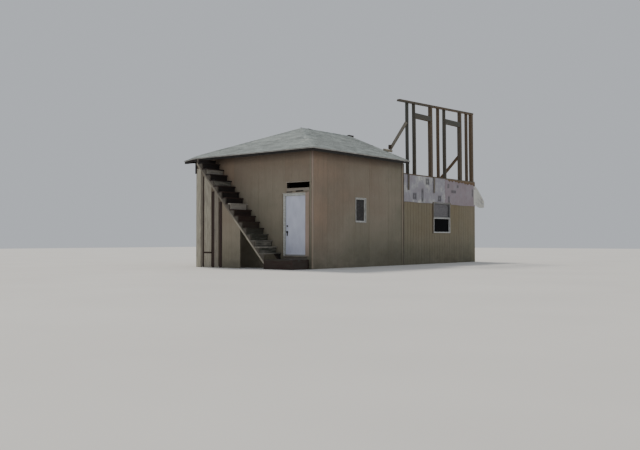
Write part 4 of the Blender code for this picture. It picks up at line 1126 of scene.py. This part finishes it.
class OBJECT_OT_farm_skirting(bpy.types.Operator):
    """Close the outer side under the stair with a sheet panel and upright boards"""

    bl_idname = "object.farm_skirting"
    bl_label = "Boards under the stair"

    def execute(self, context):
        low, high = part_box("skirt_panel")
        x = stations(low.x, high.x, [], 0.05)[:, None]
        z = np.linspace(0, 1, 24) * (stringer_line(x) - 0.001)
        ripple = 0.004 * field(x, z, 0.6, 1.2, 71)
        panel = thick_sheet(at(x, low.y + 0.004 + ripple, z), at(x, high.y - 0.004 + ripple, z), 0.45)
        add_piece("stair_panel", panel, "siding_paint", ["skirt_panel"])

        # The second board is in two pieces, the third narrow, and the fourth square at its head
        uprights, names = [], []
        for number, tone in enumerate((0.6, 0.78, 0.45, 0.86), 1):
            names.append(f"skirt_board_{number}")
            low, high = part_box(names[-1])
            middle = (low + high) / 2
            top = min(high.z, stringer_line(middle.x)) - 0.0015
            slant = (stringer_line(low.x) - stringer_line(high.x)) / (high.x - low.x) if number < 4 else 0.0
            x, wide = (low.x + 0.05, 0.09) if number == 3 else (middle.x, high.x - low.x - 0.006)
            parts = ((0.0, 0.49, 0.0), (0.55, top, slant)) if number == 2 else ((0.0, top, slant),)
            for foot, head, cut in parts:
                ends = ((x, middle.y, foot), (x, middle.y, head))
                shape = (wide, PLYWOOD, tone, 0.002, (0.0, cut))
                uprights.append(boards(*ends, (-1, 0, 0), *shape, seed=72 + number))
        add_piece("stair_upright_boards", gathered(uprights), "grey_boards", names)

        # Painted shade: near-black boards behind the gaps between the upright boards
        behind = []
        for number, (x, wide, foot, head) in enumerate(GAP_SHADE_BOARDS):
            ends = ((x, middle.y + 0.022, z) for z in (foot, head or stringer_line(x + wide / 2) - 0.02))
            behind.append(boards(*ends, (-1, 0, 0), wide, PLYWOOD, 0.3, seed=78 + number))
        add_piece("stair_gap_shade_boards", gathered(behind), "dark_boards")
        return {"FINISHED"}


# The cloth's thickness as drawn, the height of its upper edge where it is whole, and the boards over it
CLOTH = 0.0012
WRAP_LEVEL = DECK_HIGH.z - 0.006
SCAB_BOARDS = ["scab_board_1", "scab_board_2"]
# Plain blocks of print on the wrap of the right wall, as (place, height, width, tallness) of each
PRINT_BLOCKS = (
    (1.82, 3.30, 0.28, 0.26), (0.86, 2.68, 0.28, 0.26), (1.44, 2.73, 0.17, 0.55), (2.78, 2.66, 0.28, 0.25),
    (3.55, 2.65, 0.16, 0.28), (3.50, 3.22, 0.16, 0.18), (3.95, 3.0, 0.40, 0.12), (4.30, 3.24, 0.15, 0.12),
    (5.62, 3.02, 0.10, 0.34),
)


def wrap_top_right(u):
    """Height of the wrap's upper edge on the right wall: level, then torn and falling towards the back."""
    torn = 0.016 * np.sin(u * 9.0) + 0.022 * np.sin(u * 23.0 + 1.0) + 0.012 * np.sin(u * 51.0)
    falling = np.clip((u - 3.25) / 2.6, 0, 1)
    ragged = np.clip((u - 3.1) / 0.4, 0, 1)
    return WRAP_LEVEL - 0.006 * np.sin(u * 2.1) ** 2 - 0.10 * falling - ragged * (0.035 + torn)


def wrap_top(u):
    """Height of the upper edge on the other walls, a long wave."""
    return WRAP_LEVEL - 0.012 * np.sin(u * 1.3) ** 2


def wrap_bottom(u):
    """Height of the wrap's lower edge, a long wave."""
    return BAND_BOTTOM - 0.061 + 0.014 * np.sin(u * 1.9 + 0.6) ** 2


def wrap_bottom_right(u):
    """The lower edge on the right wall, which steps up over the wide window's head."""
    low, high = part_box("window_wide_frame")
    over = 1 / (1 + np.exp((low.y - 0.06 - u) / 0.012)) - 1 / (1 + np.exp((high.y + 0.06 - u) / 0.012))
    return wrap_bottom(u) + 0.065 * over


def wrap_sheet(side, start, end, bottom, top, base, seed, tone, pressed, printed):
    """Wrap along a wall between a lower and an upper edge.

    It stands off the wall by a base, plus a billow that is least at each row of nails and greatest between
    them, times a smooth random field, plus a few narrow slanting creases. Boards nailed over it press it
    flat. Each block of print is one flat-topped bell curve of the greater distance, with a fainter middle.
    """
    settings = bpy.context.scene.farm_wrap
    u = np.linspace(start, end, int((end - start) / 0.03) + 2)
    share = np.linspace(0, 1, 35)
    low, high = bottom(u)[:, None], top(u)[:, None]
    across = np.broadcast_to(u[:, None], (len(u), len(share)))
    up = low + share * (high - low)
    nails = np.abs(np.sin(math.pi * across / settings.nail_spacing))
    rows = np.abs(np.sin(math.pi * share * 2))
    loose = 0.5 + 0.5 * field(across, up, 0.7, 0.5, seed)
    billow = settings.billow * loose * (0.35 + 0.65 * nails * rows)
    crease = 0.003 * np.exp(-((field(across, up, 0.35, 0.6, seed + 1) / 0.12) ** 2))
    flat = np.ones(across.shape)
    for place in pressed:
        flat = flat * (1 - 0.85 * np.exp(-(((across - place) / 0.09) ** 2)))
    off = base + (billow + crease) * flat
    # Painted highlight: the tone is raised along the creases, where they stand out from the cloth
    shade = tone + 0.06 * field(across, up, 1.2, 0.8, seed + 2) + 0.06 * crease / 0.003 * flat
    ink = np.zeros(across.shape)
    for place, height, wide, tall in printed:
        away = np.maximum(np.abs(across - place) / wide, np.abs(up - height) / tall) * 2
        hollow = 0.45 * np.exp(-((away / 0.4) ** 4)) * (wide > 0.15)
        ink = np.maximum(ink, np.exp(-(away**8)) - hollow)
    plane = wall_plane(side)
    return thick_sheet(plane(across, up, off + CLOTH), plane(across, up, off), shade, ink)


def cap_nails(side, u, v):
    """Round plastic-capped nails on a wall's wrap, turned from one profile."""
    plane = wall_plane(side)
    profile = [(0.0125, 0), (0.0125, 0.001), (0.005, 0.0022), (0.0045, 0.0035), (0.001, 0.0038)]
    return turned(profile, plane(u, v, 0.009), plane(0.0, 0.0, 1.0) - plane(0.0, 0.0, 0.0), 10)


class OBJECT_OT_farm_wrap(bpy.types.Operator):
    """Hang the house wrap on the annex's three outer sides, with its nails and its loose end"""

    bl_idname = "object.farm_wrap"
    bl_label = "House wrap"

    def execute(self, context):
        start, seam, lap = CROSS_HIGH.y + 0.03, 3.32, 0.10
        torn, plain = (wrap_bottom_right, wrap_top_right), (wrap_bottom, wrap_top)
        scabs = [sum(corner.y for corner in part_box(node)) / 2 for node in SCAB_BOARDS]
        front = ("right", start, seam, *torn, 0.0015, 81, 0.56, scabs, PRINT_BLOCKS)
        rear = ("right", seam - lap, BACK + 0.006, *torn, 0.0045, 85, 0.29, (), PRINT_BLOCKS)
        back = ("back", -RIGHT - 0.006, RIGHT + 0.001, *plain, 0.0015, 89, 0.5, (), ())
        left = ("left", -BACK, -start, *plain, 0.0015, 93, 0.5, (), ())
        pieces = (
            ("wrap_right_front", front, seam - start),
            ("wrap_right_rear", rear, BACK - seam + lap),
            ("wrap_back", back, 2 * RIGHT),
            ("wrap_left", left, BACK - start),
        )
        for name, run, length in pieces:
            shape = wrap_sheet(*run)
            sheet = add_piece(name, shape, "spun_wrap", ["wrap_band"], smooth=180)

        nails = []
        random = np.random.default_rng(97)
        rows = (BAND_BOTTOM + 0.05, (BAND_BOTTOM + WRAP_LEVEL) / 2, WRAP_LEVEL - 0.17)
        for side, first, last in (("right", start, BACK), ("back", -RIGHT, RIGHT), ("left", -BACK, -start)):
            u = np.arange(first + 0.1, last - 0.05, context.scene.farm_wrap.nail_spacing)
            places = np.array(np.meshgrid(u, rows)).reshape(2, -1)
            keep = random.uniform(0, 1, places.shape[1]) < 0.85
            places = places + random.uniform(-0.03, 0.03, places.shape)
            nails.append(cap_nails(side, *places[:, keep]))
        add_piece("wrap_nails", gathered(nails), "nail_steel")
        self.flap()

        planks = []
        for node, tone, seed in zip(SCAB_BOARDS, (0.25, 0.4), (98, 99)):
            low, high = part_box(node)
            middle = (low + high) / 2
            ends = ((middle.x, middle.y - 0.004, low.z), (middle.x, middle.y + 0.004, high.z))
            wide, thin = high.y - low.y, high.x - low.x - 0.002
            planks.append(boards(*ends, (0, 1, 0), wide, thin, tone, seed=seed))
        add_piece("wrap_boards", gathered(planks), "grey_boards", SCAB_BOARDS)
        return {"FINISHED"}

    def flap(self):
        """The loose end: lapped flat at the corner, then turning outwards and down as it runs free.

        With the free share f of its length, it moves out by f to the power 1.5, its upper edge falls by f to
        the power 1.6 and its lower edge sags as part of a sine wave. Folds that fan from the corner are
        added.
        """
        low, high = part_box("wrap_flap")
        length, drop = 0.56, 0.62
        lap = 0.14 / length
        across, up = np.meshgrid(np.linspace(0, 1, 50), np.linspace(0, 1, 40), indexing="ij")
        free = np.maximum(0, across - lap) / (1 - lap)
        top = DECK_HIGH.z - 0.17 - drop * free**1.6
        bottom = BAND_BOTTOM + 0.01 - 0.12 * np.sin(0.7 * math.pi * free)
        z = bottom + (top - bottom) * up
        folds = 0.010 * free * np.sin(7 * math.pi * up + 3 * free) * (1 - free / 3)
        curled = 0.02 * free * np.exp(-(((1 - up) / 0.12) ** 2))
        x = low.x + 0.003 + (high.x - low.x - 0.022) * free**1.5 + folds * np.minimum(1, 4 * free) - curled
        x = np.maximum(x, low.x + 0.0005)
        y = low.y + (high.y - low.y) * across
        # Painted light: the loose end is drawn brighter than the rest of the wrap, brightest along its upper
        # edge, with its folds lighter on one side and darker on the other
        flap_light = 0.78 + 0.4 * np.exp(-(((1 - up) / 0.1) ** 2)) + 0.08 * folds / 0.01
        shape = thick_sheet(at(x + CLOTH, y, z), at(x, y, z), flap_light)
        sheet = add_piece("wrap_loose_end", shape, "spun_wrap", ["wrap_flap"], smooth=180)


# For each stud group: its full studs, whether a short one stands before or after them, and its tone
STUD_GROUPS = (
    (1, 0, 0.12), (1, 1, 0.25), (3, -1, 0.45), (1, 0, 0.42),
    (1, 1, 0.25), (3, -1, 0.4), (1, 0, 0.5), (4, 0, 0.45),
)
# How much thinner plates and studs are drawn, so that neighbours don't touch
PLANED, STUD_PLANED = 0.0006, 0.0008
# A sheet of plywood, and the gap left beside it
SHEET_WIDE, SHEET_LONG, SHEET_GAP = 1.22, 2.44, 0.0015


class OBJECT_OT_farm_framing(bpy.types.Operator):
    """Frame the upper wall: plates, studs, built-up headers, braces and the cleat on the roof"""

    bl_idname = "object.farm_framing"
    bl_label = "Framed upper wall"

    def execute(self, context):
        settings = context.scene.farm_lumber
        thin, wide = settings.thin, settings.wide
        random = np.random.default_rng(111)
        middle = RIGHT - wide / 2
        foot_low, foot_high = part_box("bottom_plate")
        top_low, top_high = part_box("top_plate")
        stud_low, stud_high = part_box("stud_1")
        slope = (top_high.z - top_low.z - 2 * thin) / (top_high.y - top_low.y)
        full_rise = stud_high.z - foot_high.z
        lean = (stud_low.y - stud_high.y + thin) / full_rise

        starts, ends, tones = [], [], []
        for number, (full, short, tone) in enumerate(STUD_GROUPS, 1):
            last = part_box(f"stud_{number}")[1].y
            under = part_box("header_2" if number > 3 else "header_1")[0].z - SEAT
            count = full + abs(short)
            cut_short = {1: count - 1, -1: 0}.get(short)
            for place in range(count):
                y = last - count * thin + thin * (place + 0.5)
                top = top_low.z + slope * (y + lean * full_rise - top_low.y) - 0.001
                top = under if place == cut_short else top
                starts.append((middle, y, foot_high.z + SEAT))
                ends.append((middle, y + lean * (top - foot_high.z), top))
                tones.append(tone + random.uniform(-0.12, 0.12))
        bow = random.uniform(-1, 1, len(starts)) * settings.bow
        across, tones = (1, 0, 0), np.clip(tones, 0, 1)
        studs = boards(starts, ends, across, wide, thin - STUD_PLANED, tones, bow, rows=14, seed=112)
        nodes = [f"stud_{number}" for number in range(1, 9)]
        add_piece("studs", studs, "framing_lumber", nodes)

        # Each plate is two boards in line: their four ends, the height, the slope, the tones and the rows
        lengths = (
            (foot_low.y, 2.72, 2.724, foot_high.y, foot_low.z + thin * 0.5, 0.0, (0.5, 0.35), 6),
            (top_low.y, 2.31, 2.314, top_high.y, top_low.z + thin * 0.5, slope, (0.25, 0.5), 20),
            (
                top_low.y + 0.02, 3.56, 3.564, top_high.y - 0.015,
                top_low.z + thin * 1.5, slope, (0.45, 0.3), 20,
            ),
        )
        plates = []
        for number, (a, b, c, d, height, rise, tones, rows) in enumerate(lengths):
            y = np.array([[a, c], [b, d]])
            ends = at(middle, y, height + rise * (y - top_low.y))
            seed = 113 + number
            plates.append(boards(*ends, across, wide, thin - PLANED, tones, rows=rows, seed=seed))
        nodes = ["bottom_plate", "top_plate"]
        add_piece("wall_plates", gathered(plates), "framing_lumber", nodes)

        headers = []
        for node, tone in (("header_1", 0.14), ("header_2", 0.08)):
            low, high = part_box(node)
            inset = abs(lean) * (high.z - low.z)
            layers = (
                (RIGHT - thin / 2, 0.002, thin, tone, 120),
                (RIGHT - wide + thin / 2, 0.002, thin, max(tone - 0.2, 0), 121),
                (middle, 0.006, wide - 2 * thin - PLANED, 0.6, 123),
            )
            for x, short, thick, shade, seed in layers:
                ends = ((x, y, (low.z + high.z) / 2) for y in (low.y + inset, high.y - inset))
                headers.append(boards(*ends, (0, 0, 1), high.z - low.z - short, thick, shade, seed=seed))
        add_piece("headers", gathered(headers), "framing_lumber", ["header_1", "header_2"])

        # The braces' feet are level, and their heads square
        for node, finish in (("brace_to_roof", "grey_boards"), ("brace_to_deck", "framing_lumber")):
            low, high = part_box(node)
            y = (low.y + high.y) / 2
            foot, head = (low.x + wide / 2, y, low.z), (high.x - wide / 2, y, high.z - wide * 0.55)
            square = (head[0] - foot[0]) / (head[2] - foot[2])
            size = (wide * 0.92, thin - 0.001, 0.6)
            brace = boards(foot, head, across, *size, cut=(-square, 0.0), rows=12, seed=130)
            add_piece(node + "_board", brace, finish, [node])
        low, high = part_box("brace_cleat")
        tilt = math.atan(PITCH)
        center = (low + high) / 2
        ends = ((center.x, y, center.z) for y in (low.y, high.y))
        cleat = boards(*ends, (math.cos(tilt), 0, -math.sin(tilt)), wide, 0.080, 0.75, seed=131)
        add_piece("cleat_board", cleat, "grey_boards", ["brace_cleat"])
        ends = ((center.x, high.y - 0.07, z) for z in (high.z, high.z + 0.16))
        block = boards(*ends, across, 0.12, 0.09, 0.1, seed=132)
        add_piece("cleat_block", block, "brown_boards")
        return {"FINISHED"}


class OBJECT_OT_farm_deck(bpy.types.Operator):
    """Deck the annex: rim boards, joists and plywood sheets"""

    bl_idname = "object.farm_deck"
    bl_label = "Deck"

    def execute(self, context):
        low, high = DECK_LOW, DECK_HIGH
        thin = LUMBER
        tall = high.z - low.z - PLYWOOD - SEAT
        z = low.z + tall / 2
        a, b, c, d = low.x + thin / 2, high.x - thin / 2, low.y + thin / 2, high.y - thin / 2
        starts = at((a, b, low.x + thin, low.x + thin), (low.y, low.y, c, d), z)
        ends = at((a, b, high.x - thin, high.x - thin), (high.y, high.y, c, d), z)
        rim = boards(starts, ends, (0, 0, 1), tall, thin, (0.6, 0.75, 0.5, 0.6), rows=12, seed=141)
        y = np.arange(low.y + STUD_SPACING, high.y - 0.1, STUD_SPACING)
        ends = (at(x, y, z) for x in (low.x + thin + SEAT, high.x - thin - SEAT))
        tones = np.random.default_rng(142).uniform(0.3, 0.8, len(y))
        joists = boards(*ends, (0, 0, 1), tall - 0.002, thin, tones, seed=143)
        add_piece("deck_joists", gathered([rim, joists]), "framing_lumber", ["upper_deck"])

        sheets = []
        random = np.random.default_rng(144)
        for row in range(int((high.y - low.y) / SHEET_WIDE) + 1):
            y0, y1 = low.y + row * SHEET_WIDE, min(low.y + (row + 1) * SHEET_WIDE, high.y)
            v = np.linspace(y0 + SHEET_GAP, y1 - SHEET_GAP, 4)
            x0 = low.x - (row % 2) * SHEET_WIDE
            while x0 < high.x - 0.01:
                x1 = min(x0 + SHEET_LONG, high.x)
                u = np.linspace(max(x0, low.x) + SHEET_GAP, x1 - SHEET_GAP, 5)[:, None]
                ply = thick_sheet(at(u, v, high.z), at(u, v, high.z - PLYWOOD), random.uniform(0.2, 0.9))
                sheets.append(ply)
                x0 += SHEET_LONG
        add_piece("deck_sheets", gathered(sheets), "deck_plywood", ["upper_deck"])
        for node in ("main_floor", "annex_floor"):
            dress(node, "deck_plywood")
        return {"FINISHED"}


# How far a window's frame reaches into its opening
FRAME = 0.0305


def moulding(low, high, section, tone=0.5):
    """A closed ring round a rectangle in the right wall, with mitred corners.

    low and high are the rectangle's corners in the wall's plane, and each section point is its distance in
    from the rectangle's edge and out from the wall.
    """
    inward, outward = np.array(section, float).T
    u = np.stack([low[0] + inward, high[0] - inward, high[0] - inward, low[0] + inward])
    v = np.stack([low[1] + inward, low[1] + inward, high[1] - inward, high[1] - inward])
    count = len(section)
    i, j = np.meshgrid(np.arange(4), np.arange(count), indexing="ij")
    after, beside = (i + 1) % 4 * count, (j + 1) % count
    quads = np.stack([i * count + j, after + j, after + beside, i * count + beside], -1).reshape(-1, 4)
    return Shape(wall_plane("right")(u, v, outward), [quads], None, tone)


def window_ring(low, high, tone):
    """An outer casing and the frame behind it, both mitred round one opening."""
    section = [(0.0005, -0.078), (0.0005, 0.011), (0.004, 0.012)]
    section += [(0.028, 0.012), (0.030, 0.008), (0.030, -0.078)]
    return moulding(low, high, section, tone)


def sash(low, high, stile, out, deep, tone=0.5):
    """A sash: a mitred ring whose inner edge slopes down to the glass."""
    section = [(0.0, out - deep), (0.0, out), (stile - 0.008, out), (stile, out - 0.008), (stile, out - deep)]
    return moulding(low, high, section, tone)


def inside_frame(low, high):
    """The corners of the rectangle inside a window's frame, from those of its opening."""
    return (low[0] + FRAME, low[1] + FRAME), (high[0] - FRAME, high[1] - FRAME)


class OBJECT_OT_farm_windows(bpy.types.Operator):
    """Fit both windows with frames, sashes and panes, and a blind behind the wide window's upper pane"""

    bl_idname = "object.farm_windows"
    bl_label = "Windows"

    def execute(self, context):
        plane = wall_plane("right")
        low, high = opening("window_narrow_frame")
        start, end = inside_frame(low, high)
        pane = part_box("window_narrow_glass")[0]
        stile = pane.y - start[0] + 0.002
        rail = min(stile, pane.z - start[1])
        # Upright fillers widen the sash's sides to the pane
        fill = stile - rail
        middle = (start[0] + rail + fill / 2, end[0] - rail - fill / 2)
        ends = (plane(middle, z, -0.036) for z in (start[1] + rail - 0.002, end[1] - rail + 0.002))
        parts = [
            window_ring(low, high, 0.36),
            sash(start, end, rail + 0.003, -0.018, 0.034),
            boards(*ends, (0, 1, 0), fill, 0.030, 0.5, ease=0.002, seed=155),
        ]
        add_piece("narrow_window", gathered(parts), "frame_enamel", ["window_narrow_frame"])
        dress("window_narrow_glass", "dusty_pane")

        def level_strip(places, height, out, wide, tone, seed):
            foot, head = plane(places, height, out)
            return boards(foot, head, (0, 0, 1), wide, 0.007, tone, ease=0.001, seed=seed)

        low, high = opening("window_wide_frame")
        start, end = inside_frame(low, high)
        upper_low, upper_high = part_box("window_wide_glass_upper")
        lower_low, lower_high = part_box("window_wide_glass_lower")
        meeting, lapped = (upper_low.z + lower_high.z) / 2, 0.022
        split = meeting - 0.02
        stile = lower_low.y - start[0]
        parts = [
            window_ring((low[0], split), high, 0.14),
            window_ring(low, (high[0], split), 0.5),
            sash((start[0], meeting - lapped), end, stile, -0.008, 0.045, 0.1),
            level_strip((low[0] + 0.01, high[0] - 0.01), high[1] - 0.016, 0.008, 0.03, 0.6, 156),
            level_strip((start[0], end[0]), meeting, -0.004, 0.045, 0.8, 157),
            sash(start, (end[0], meeting + lapped), stile, -0.034, 0.028),
        ]
        add_piece("wide_window", gathered(parts), "frame_enamel", ["window_wide_frame"])
        dress("window_wide_glass_lower", "dark_pane")
        dress("window_wide_glass_upper", "clear_pane")

        slat = 0.024
        z = np.arange(upper_low.z + 0.012, upper_high.z - 0.01, slat)
        random = np.random.default_rng(151)
        droop = random.uniform(-0.002, 0.002, len(z))
        tones = random.uniform(0.3, 0.7, len(z))
        x = upper_low.x - 0.022
        ends = at(x, upper_low.y + 0.004, z + droop), at(x, upper_high.y - 0.004, z - droop)
        slats = boards(*ends, (0.5, 0, 0.87), slat, 0.0012, tones, ease=0.0003, seed=152)
        add_piece("blind_slats", slats, "blind_slat")
        return {"FINISHED"}


# Half the leaf's thickness, and profiles as (radius, height off its face) of the knob and the deadbolt
LEAF_FACE = 0.0225 + SEAT
KNOB = (
    (0.032, 0.0), (0.032, 0.004), (0.029, 0.008), (0.013, 0.010), (0.011, 0.024), (0.015, 0.030),
    (0.0245, 0.038), (0.0262, 0.046), (0.0255, 0.054), (0.020, 0.061), (0.010, 0.064), (0.001, 0.064),
)
DEADBOLT = ((0.031, 0.0), (0.031, 0.006), (0.027, 0.012), (0.019, 0.013), (0.018, 0.016), (0.001, 0.016))


class OBJECT_OT_farm_entrance(bpy.types.Operator):
    """Finish the entrance: leaf, knob, deadbolt, sill, casing, and the boards round the slot above it"""

    bl_idname = "object.farm_entrance"
    bl_label = "Entrance"

    def execute(self, context):
        low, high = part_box("door_leaf")
        self.leaf(low, high)
        self.locks()
        self.sweep(low, high)
        dress("door_frame", "jamb_enamel")
        self.sill()
        self.casing()
        return {"FINISHED"}

    def leaf(self, low, high):
        """A flush slab with rounded edges and soft dents: two grids whose depth is a smooth random field."""
        inset = 0.0015
        u = stations(low.x, high.x, [low.x + inset, high.x - inset], 0.05)
        v = stations(low.z, high.z, [low.z + inset, high.z - inset], 0.07)
        across, up = np.meshgrid(u, v, indexing="ij")
        edge = (across == u[0]) | (across == u[-1]) | (up == v[0]) | (up == v[-1])
        dents = 0.0005 * (1 + field(across, up, 0.5, 0.7, 161)) + inset * edge
        slab = thick_sheet(at(across, low.y + dents, up), at(across, high.y - 0.5 * dents, up))
        add_piece("door_slab", slab, "door_enamel", ["door_leaf"], "door", smooth=40)

    def locks(self):
        """Knobs, roses and a deadbolt, turned from profiles on both faces of the leaf."""
        low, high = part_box("door_knob")
        place = np.array((low + high) / 2)
        shapes = [
            turned(np.add(profile, (0, LEAF_FACE)), place + (0, 0, up), (0, side, 0), sides)
            for profile, up, sides in ((KNOB, 0.0, 32), (DEADBOLT, 0.20, 28))
            for side in (-1, 1)
        ]
        shapes.append(turned([(0.0078, -LEAF_FACE), (0.0078, LEAF_FACE)], place, (0, 1, 0), 16))
        ends = (place + (-0.004, -LEAF_FACE - 0.003, up) for up in (-0.13, 0.04))
        shapes.append(boards(*ends, (1, 0, 0), 0.05, 0.004, ease=0.001, seed=164))
        lock = gathered(shapes)
        add_piece("knob_and_deadbolt", lock, "knob_metal", ["door_knob"], "door", smooth=35)

    def sweep(self, low, high):
        """A metal strip along the foot of the leaf."""
        ends = ((x, low.y - 0.0015, low.z + 0.018) for x in (low.x + 0.004, high.x - 0.004))
        sweep = boards(*ends, (0, 0, 1), 0.03, 0.003, ease=0.0008, seed=163)
        add_piece("door_sweep", sweep, "sill_aluminium", body="door")

    def sill(self):
        """The sill as a worn board under a low metal threshold with a rounded back."""
        low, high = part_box("door_sill")
        x0, x1, y = low.x + 0.001, high.x - 0.001, (low.y + high.y) / 2
        tall, wide = high.z - LUMBER - 0.016, high.y - low.y
        base = boards((x0, y, tall / 2), (x1, y, tall / 2), (0, 0, 1), tall, wide - 0.04, 0.4)
        z = high.z - LUMBER / 2 - 0.006
        top = boards((x0, y, z), (x1, y, z), (0, 1, 0), wide, LUMBER - 0.002, 0.6, seed=165)
        add_piece("sill_boards", gathered([base, top]), "grey_boards", ["door_sill"])
        y = low.y + 0.045 + np.array([0, 0, 0.015, 0.03, 0.06, 0.09, 0.10, 0.10])
        z = high.z - 0.006 + np.array([0, 0.002, 0.005, 0.0058, 0.0058, 0.004, 0.002, 0])
        points = at(np.linspace(x0, x1, 12)[:, None], y, z)
        threshold = Shape(points, tube_faces(*points.shape[:2]))
        add_piece("door_threshold", threshold, "sill_aluminium", ["door_sill"])

    def casing(self):
        """Casing boards beside the doorway, loose boards under the slot and thin trim round it."""
        plane = wall_plane("front")

        def strip(u0, v0, u1, v1, wide, tone, seed):
            foot, head = plane((u0, u1), (v0, v1), TRIM / 2 + SEAT)
            side = (1, 0, 0) if abs(u1 - u0) < abs(v1 - v0) else (0, 0, 1)
            return boards(foot, head, side, wide, TRIM, tone, ease=0.002, seed=seed)

        left, right, head = DOORWAY_LEFT, DOORWAY_RIGHT, DOORWAY_TOP
        (slot_left, slot_foot), (slot_right, slot_head) = SLOT
        beige = strip(left - 0.085, 0.33, left - 0.085, head + 0.02, 0.085, 0.55, 171)
        add_piece("door_casing_left", beige, "siding_paint")
        rosy = strip(right + 0.008, 0.42, right + 0.008, head + 0.02, 0.16, 0.3, 172)
        add_piece("door_casing_right", rosy, "casing_paint")
        # Over the doorway, under the slot and over the slot
        pale = [
            strip(left - 0.05, head + 0.012, right + 0.02, head + 0.012, 0.022, 0.6, 173),
            strip(slot_left + 0.02, head + 0.115, slot_right - 0.01, head + 0.115, 0.105, 0.0, 174),
            strip(slot_left - 0.03, slot_head + 0.012, slot_right + 0.02, slot_head + 0.012, 0.022, 0.4, 176),
        ]
        add_piece("boards_over_door", gathered(pale), "pale_boards")
        # The slot's lining at its left end and two strips between the boards, all near black: painted shade
        # inside the slot and in the gaps
        ends = ((slot_left + 0.008, FRONT + WALL / 2, z) for z in (slot_foot + 0.002, slot_head - 0.002))
        gaps = [
            boards(*ends, (0, 1, 0), WALL - 0.004, 0.012, 0.0, seed=179),
            strip(slot_left, head + 0.04, slot_left + 0.24, head + 0.04, 0.03, 0.0, 177),
            strip(slot_left + 0.41, head + 0.062, slot_left + 0.73, head + 0.066, 0.042, 0.0, 178),
        ]
        add_piece("dark_strips_over_door", gathered(gaps), "dark_boards")


# The photograph's width in pixels, and the sensor's width in millimetres
PICTURE_WIDTH, SENSOR_WIDTH = 640, 36.0


class OBJECT_OT_farm_stage(bpy.types.Operator):
    """Lay a plain floor, light it softly from high behind, and place the camera"""

    bl_idname = "object.farm_stage"
    bl_label = "Floor, light and camera"

    def execute(self, context):
        settings = context.scene.farm_stage
        scene = context.scene
        edge = np.linspace(-60.0, 60.0, 5)
        slab = thick_sheet(at(edge[:, None], edge, -0.002), at(edge[:, None], edge, -0.052))
        new_object("studio_floor", slab, "plain_floor")

        world = bpy.data.worlds.new("studio_air")
        world.use_nodes = True
        air = world.node_tree.nodes["Background"]
        air.inputs["Color"].default_value = linear("E9EEF5")
        air.inputs["Strength"].default_value = settings.sky
        scene.world = world

        light = bpy.data.lights.new("high_soft_light", "SUN")
        light.energy = settings.sun
        light.angle = math.radians(12)
        light.color = linear("FFF6E8")[:3]
        lamp = bpy.data.objects.new("high_soft_light", light)
        lamp.rotation_euler = (math.radians(-12), math.radians(-34), 0)
        scene.collection.objects.link(lamp)

        lens = bpy.data.cameras.new("photo_view")
        lens.sensor_width = SENSOR_WIDTH
        lens.lens = SENSOR_WIDTH * settings.focal_pixels / PICTURE_WIDTH
        lens.clip_end = 500
        camera = bpy.data.objects.new("photo_view", lens)
        camera.location = settings.camera_place
        camera.rotation_euler = (math.pi / 2 + settings.pitch, 0, settings.azimuth)
        scene.collection.objects.link(camera)
        scene.camera = camera
        return {"FINISHED"}


BUTTONS = (
    OBJECT_OT_farm_front_half,
    OBJECT_OT_farm_annex,
    OBJECT_OT_farm_roof,
    OBJECT_OT_farm_eaves,
    OBJECT_OT_farm_stair,
    OBJECT_OT_farm_skirting,
    OBJECT_OT_farm_wrap,
    OBJECT_OT_farm_framing,
    OBJECT_OT_farm_deck,
    OBJECT_OT_farm_windows,
    OBJECT_OT_farm_entrance,
    OBJECT_OT_farm_stage,
)


class VIEW3D_PT_farm_building(bpy.types.Panel):
    """Buttons and sizes for the farm building"""

    bl_label = "Farm building"
    bl_idname = "VIEW3D_PT_farm_building"
    bl_space_type = "VIEW_3D"
    bl_region_type = "UI"
    bl_category = "Farm building"

    def draw(self, context):
        layout = self.layout
        for button in BUTTONS:
            layout.operator(button.bl_idname)
        for name, group in SETTINGS.items():
            box = layout.box()
            box.label(text=group.__doc__)
            for field_name in group.__annotations__:
                box.prop(getattr(context.scene, name), field_name)


CLASSES = (*SETTINGS.values(), *BUTTONS, VIEW3D_PT_farm_building)


def register():
    for item in CLASSES:
        bpy.utils.register_class(item)
    for name, group in SETTINGS.items():
        setattr(bpy.types.Scene, name, bpy.props.PointerProperty(type=group))


def unregister():
    for name in SETTINGS:
        delattr(bpy.types.Scene, name)
    for item in reversed(CLASSES):
        bpy.utils.unregister_class(item)


def main():
    """Registers the buttons and presses them in order."""
    register()
    for button in BUTTONS:
        group, name = button.bl_idname.split(".")
        getattr(getattr(bpy.ops, group), name)()


if __name__ == "__main__":
    main()
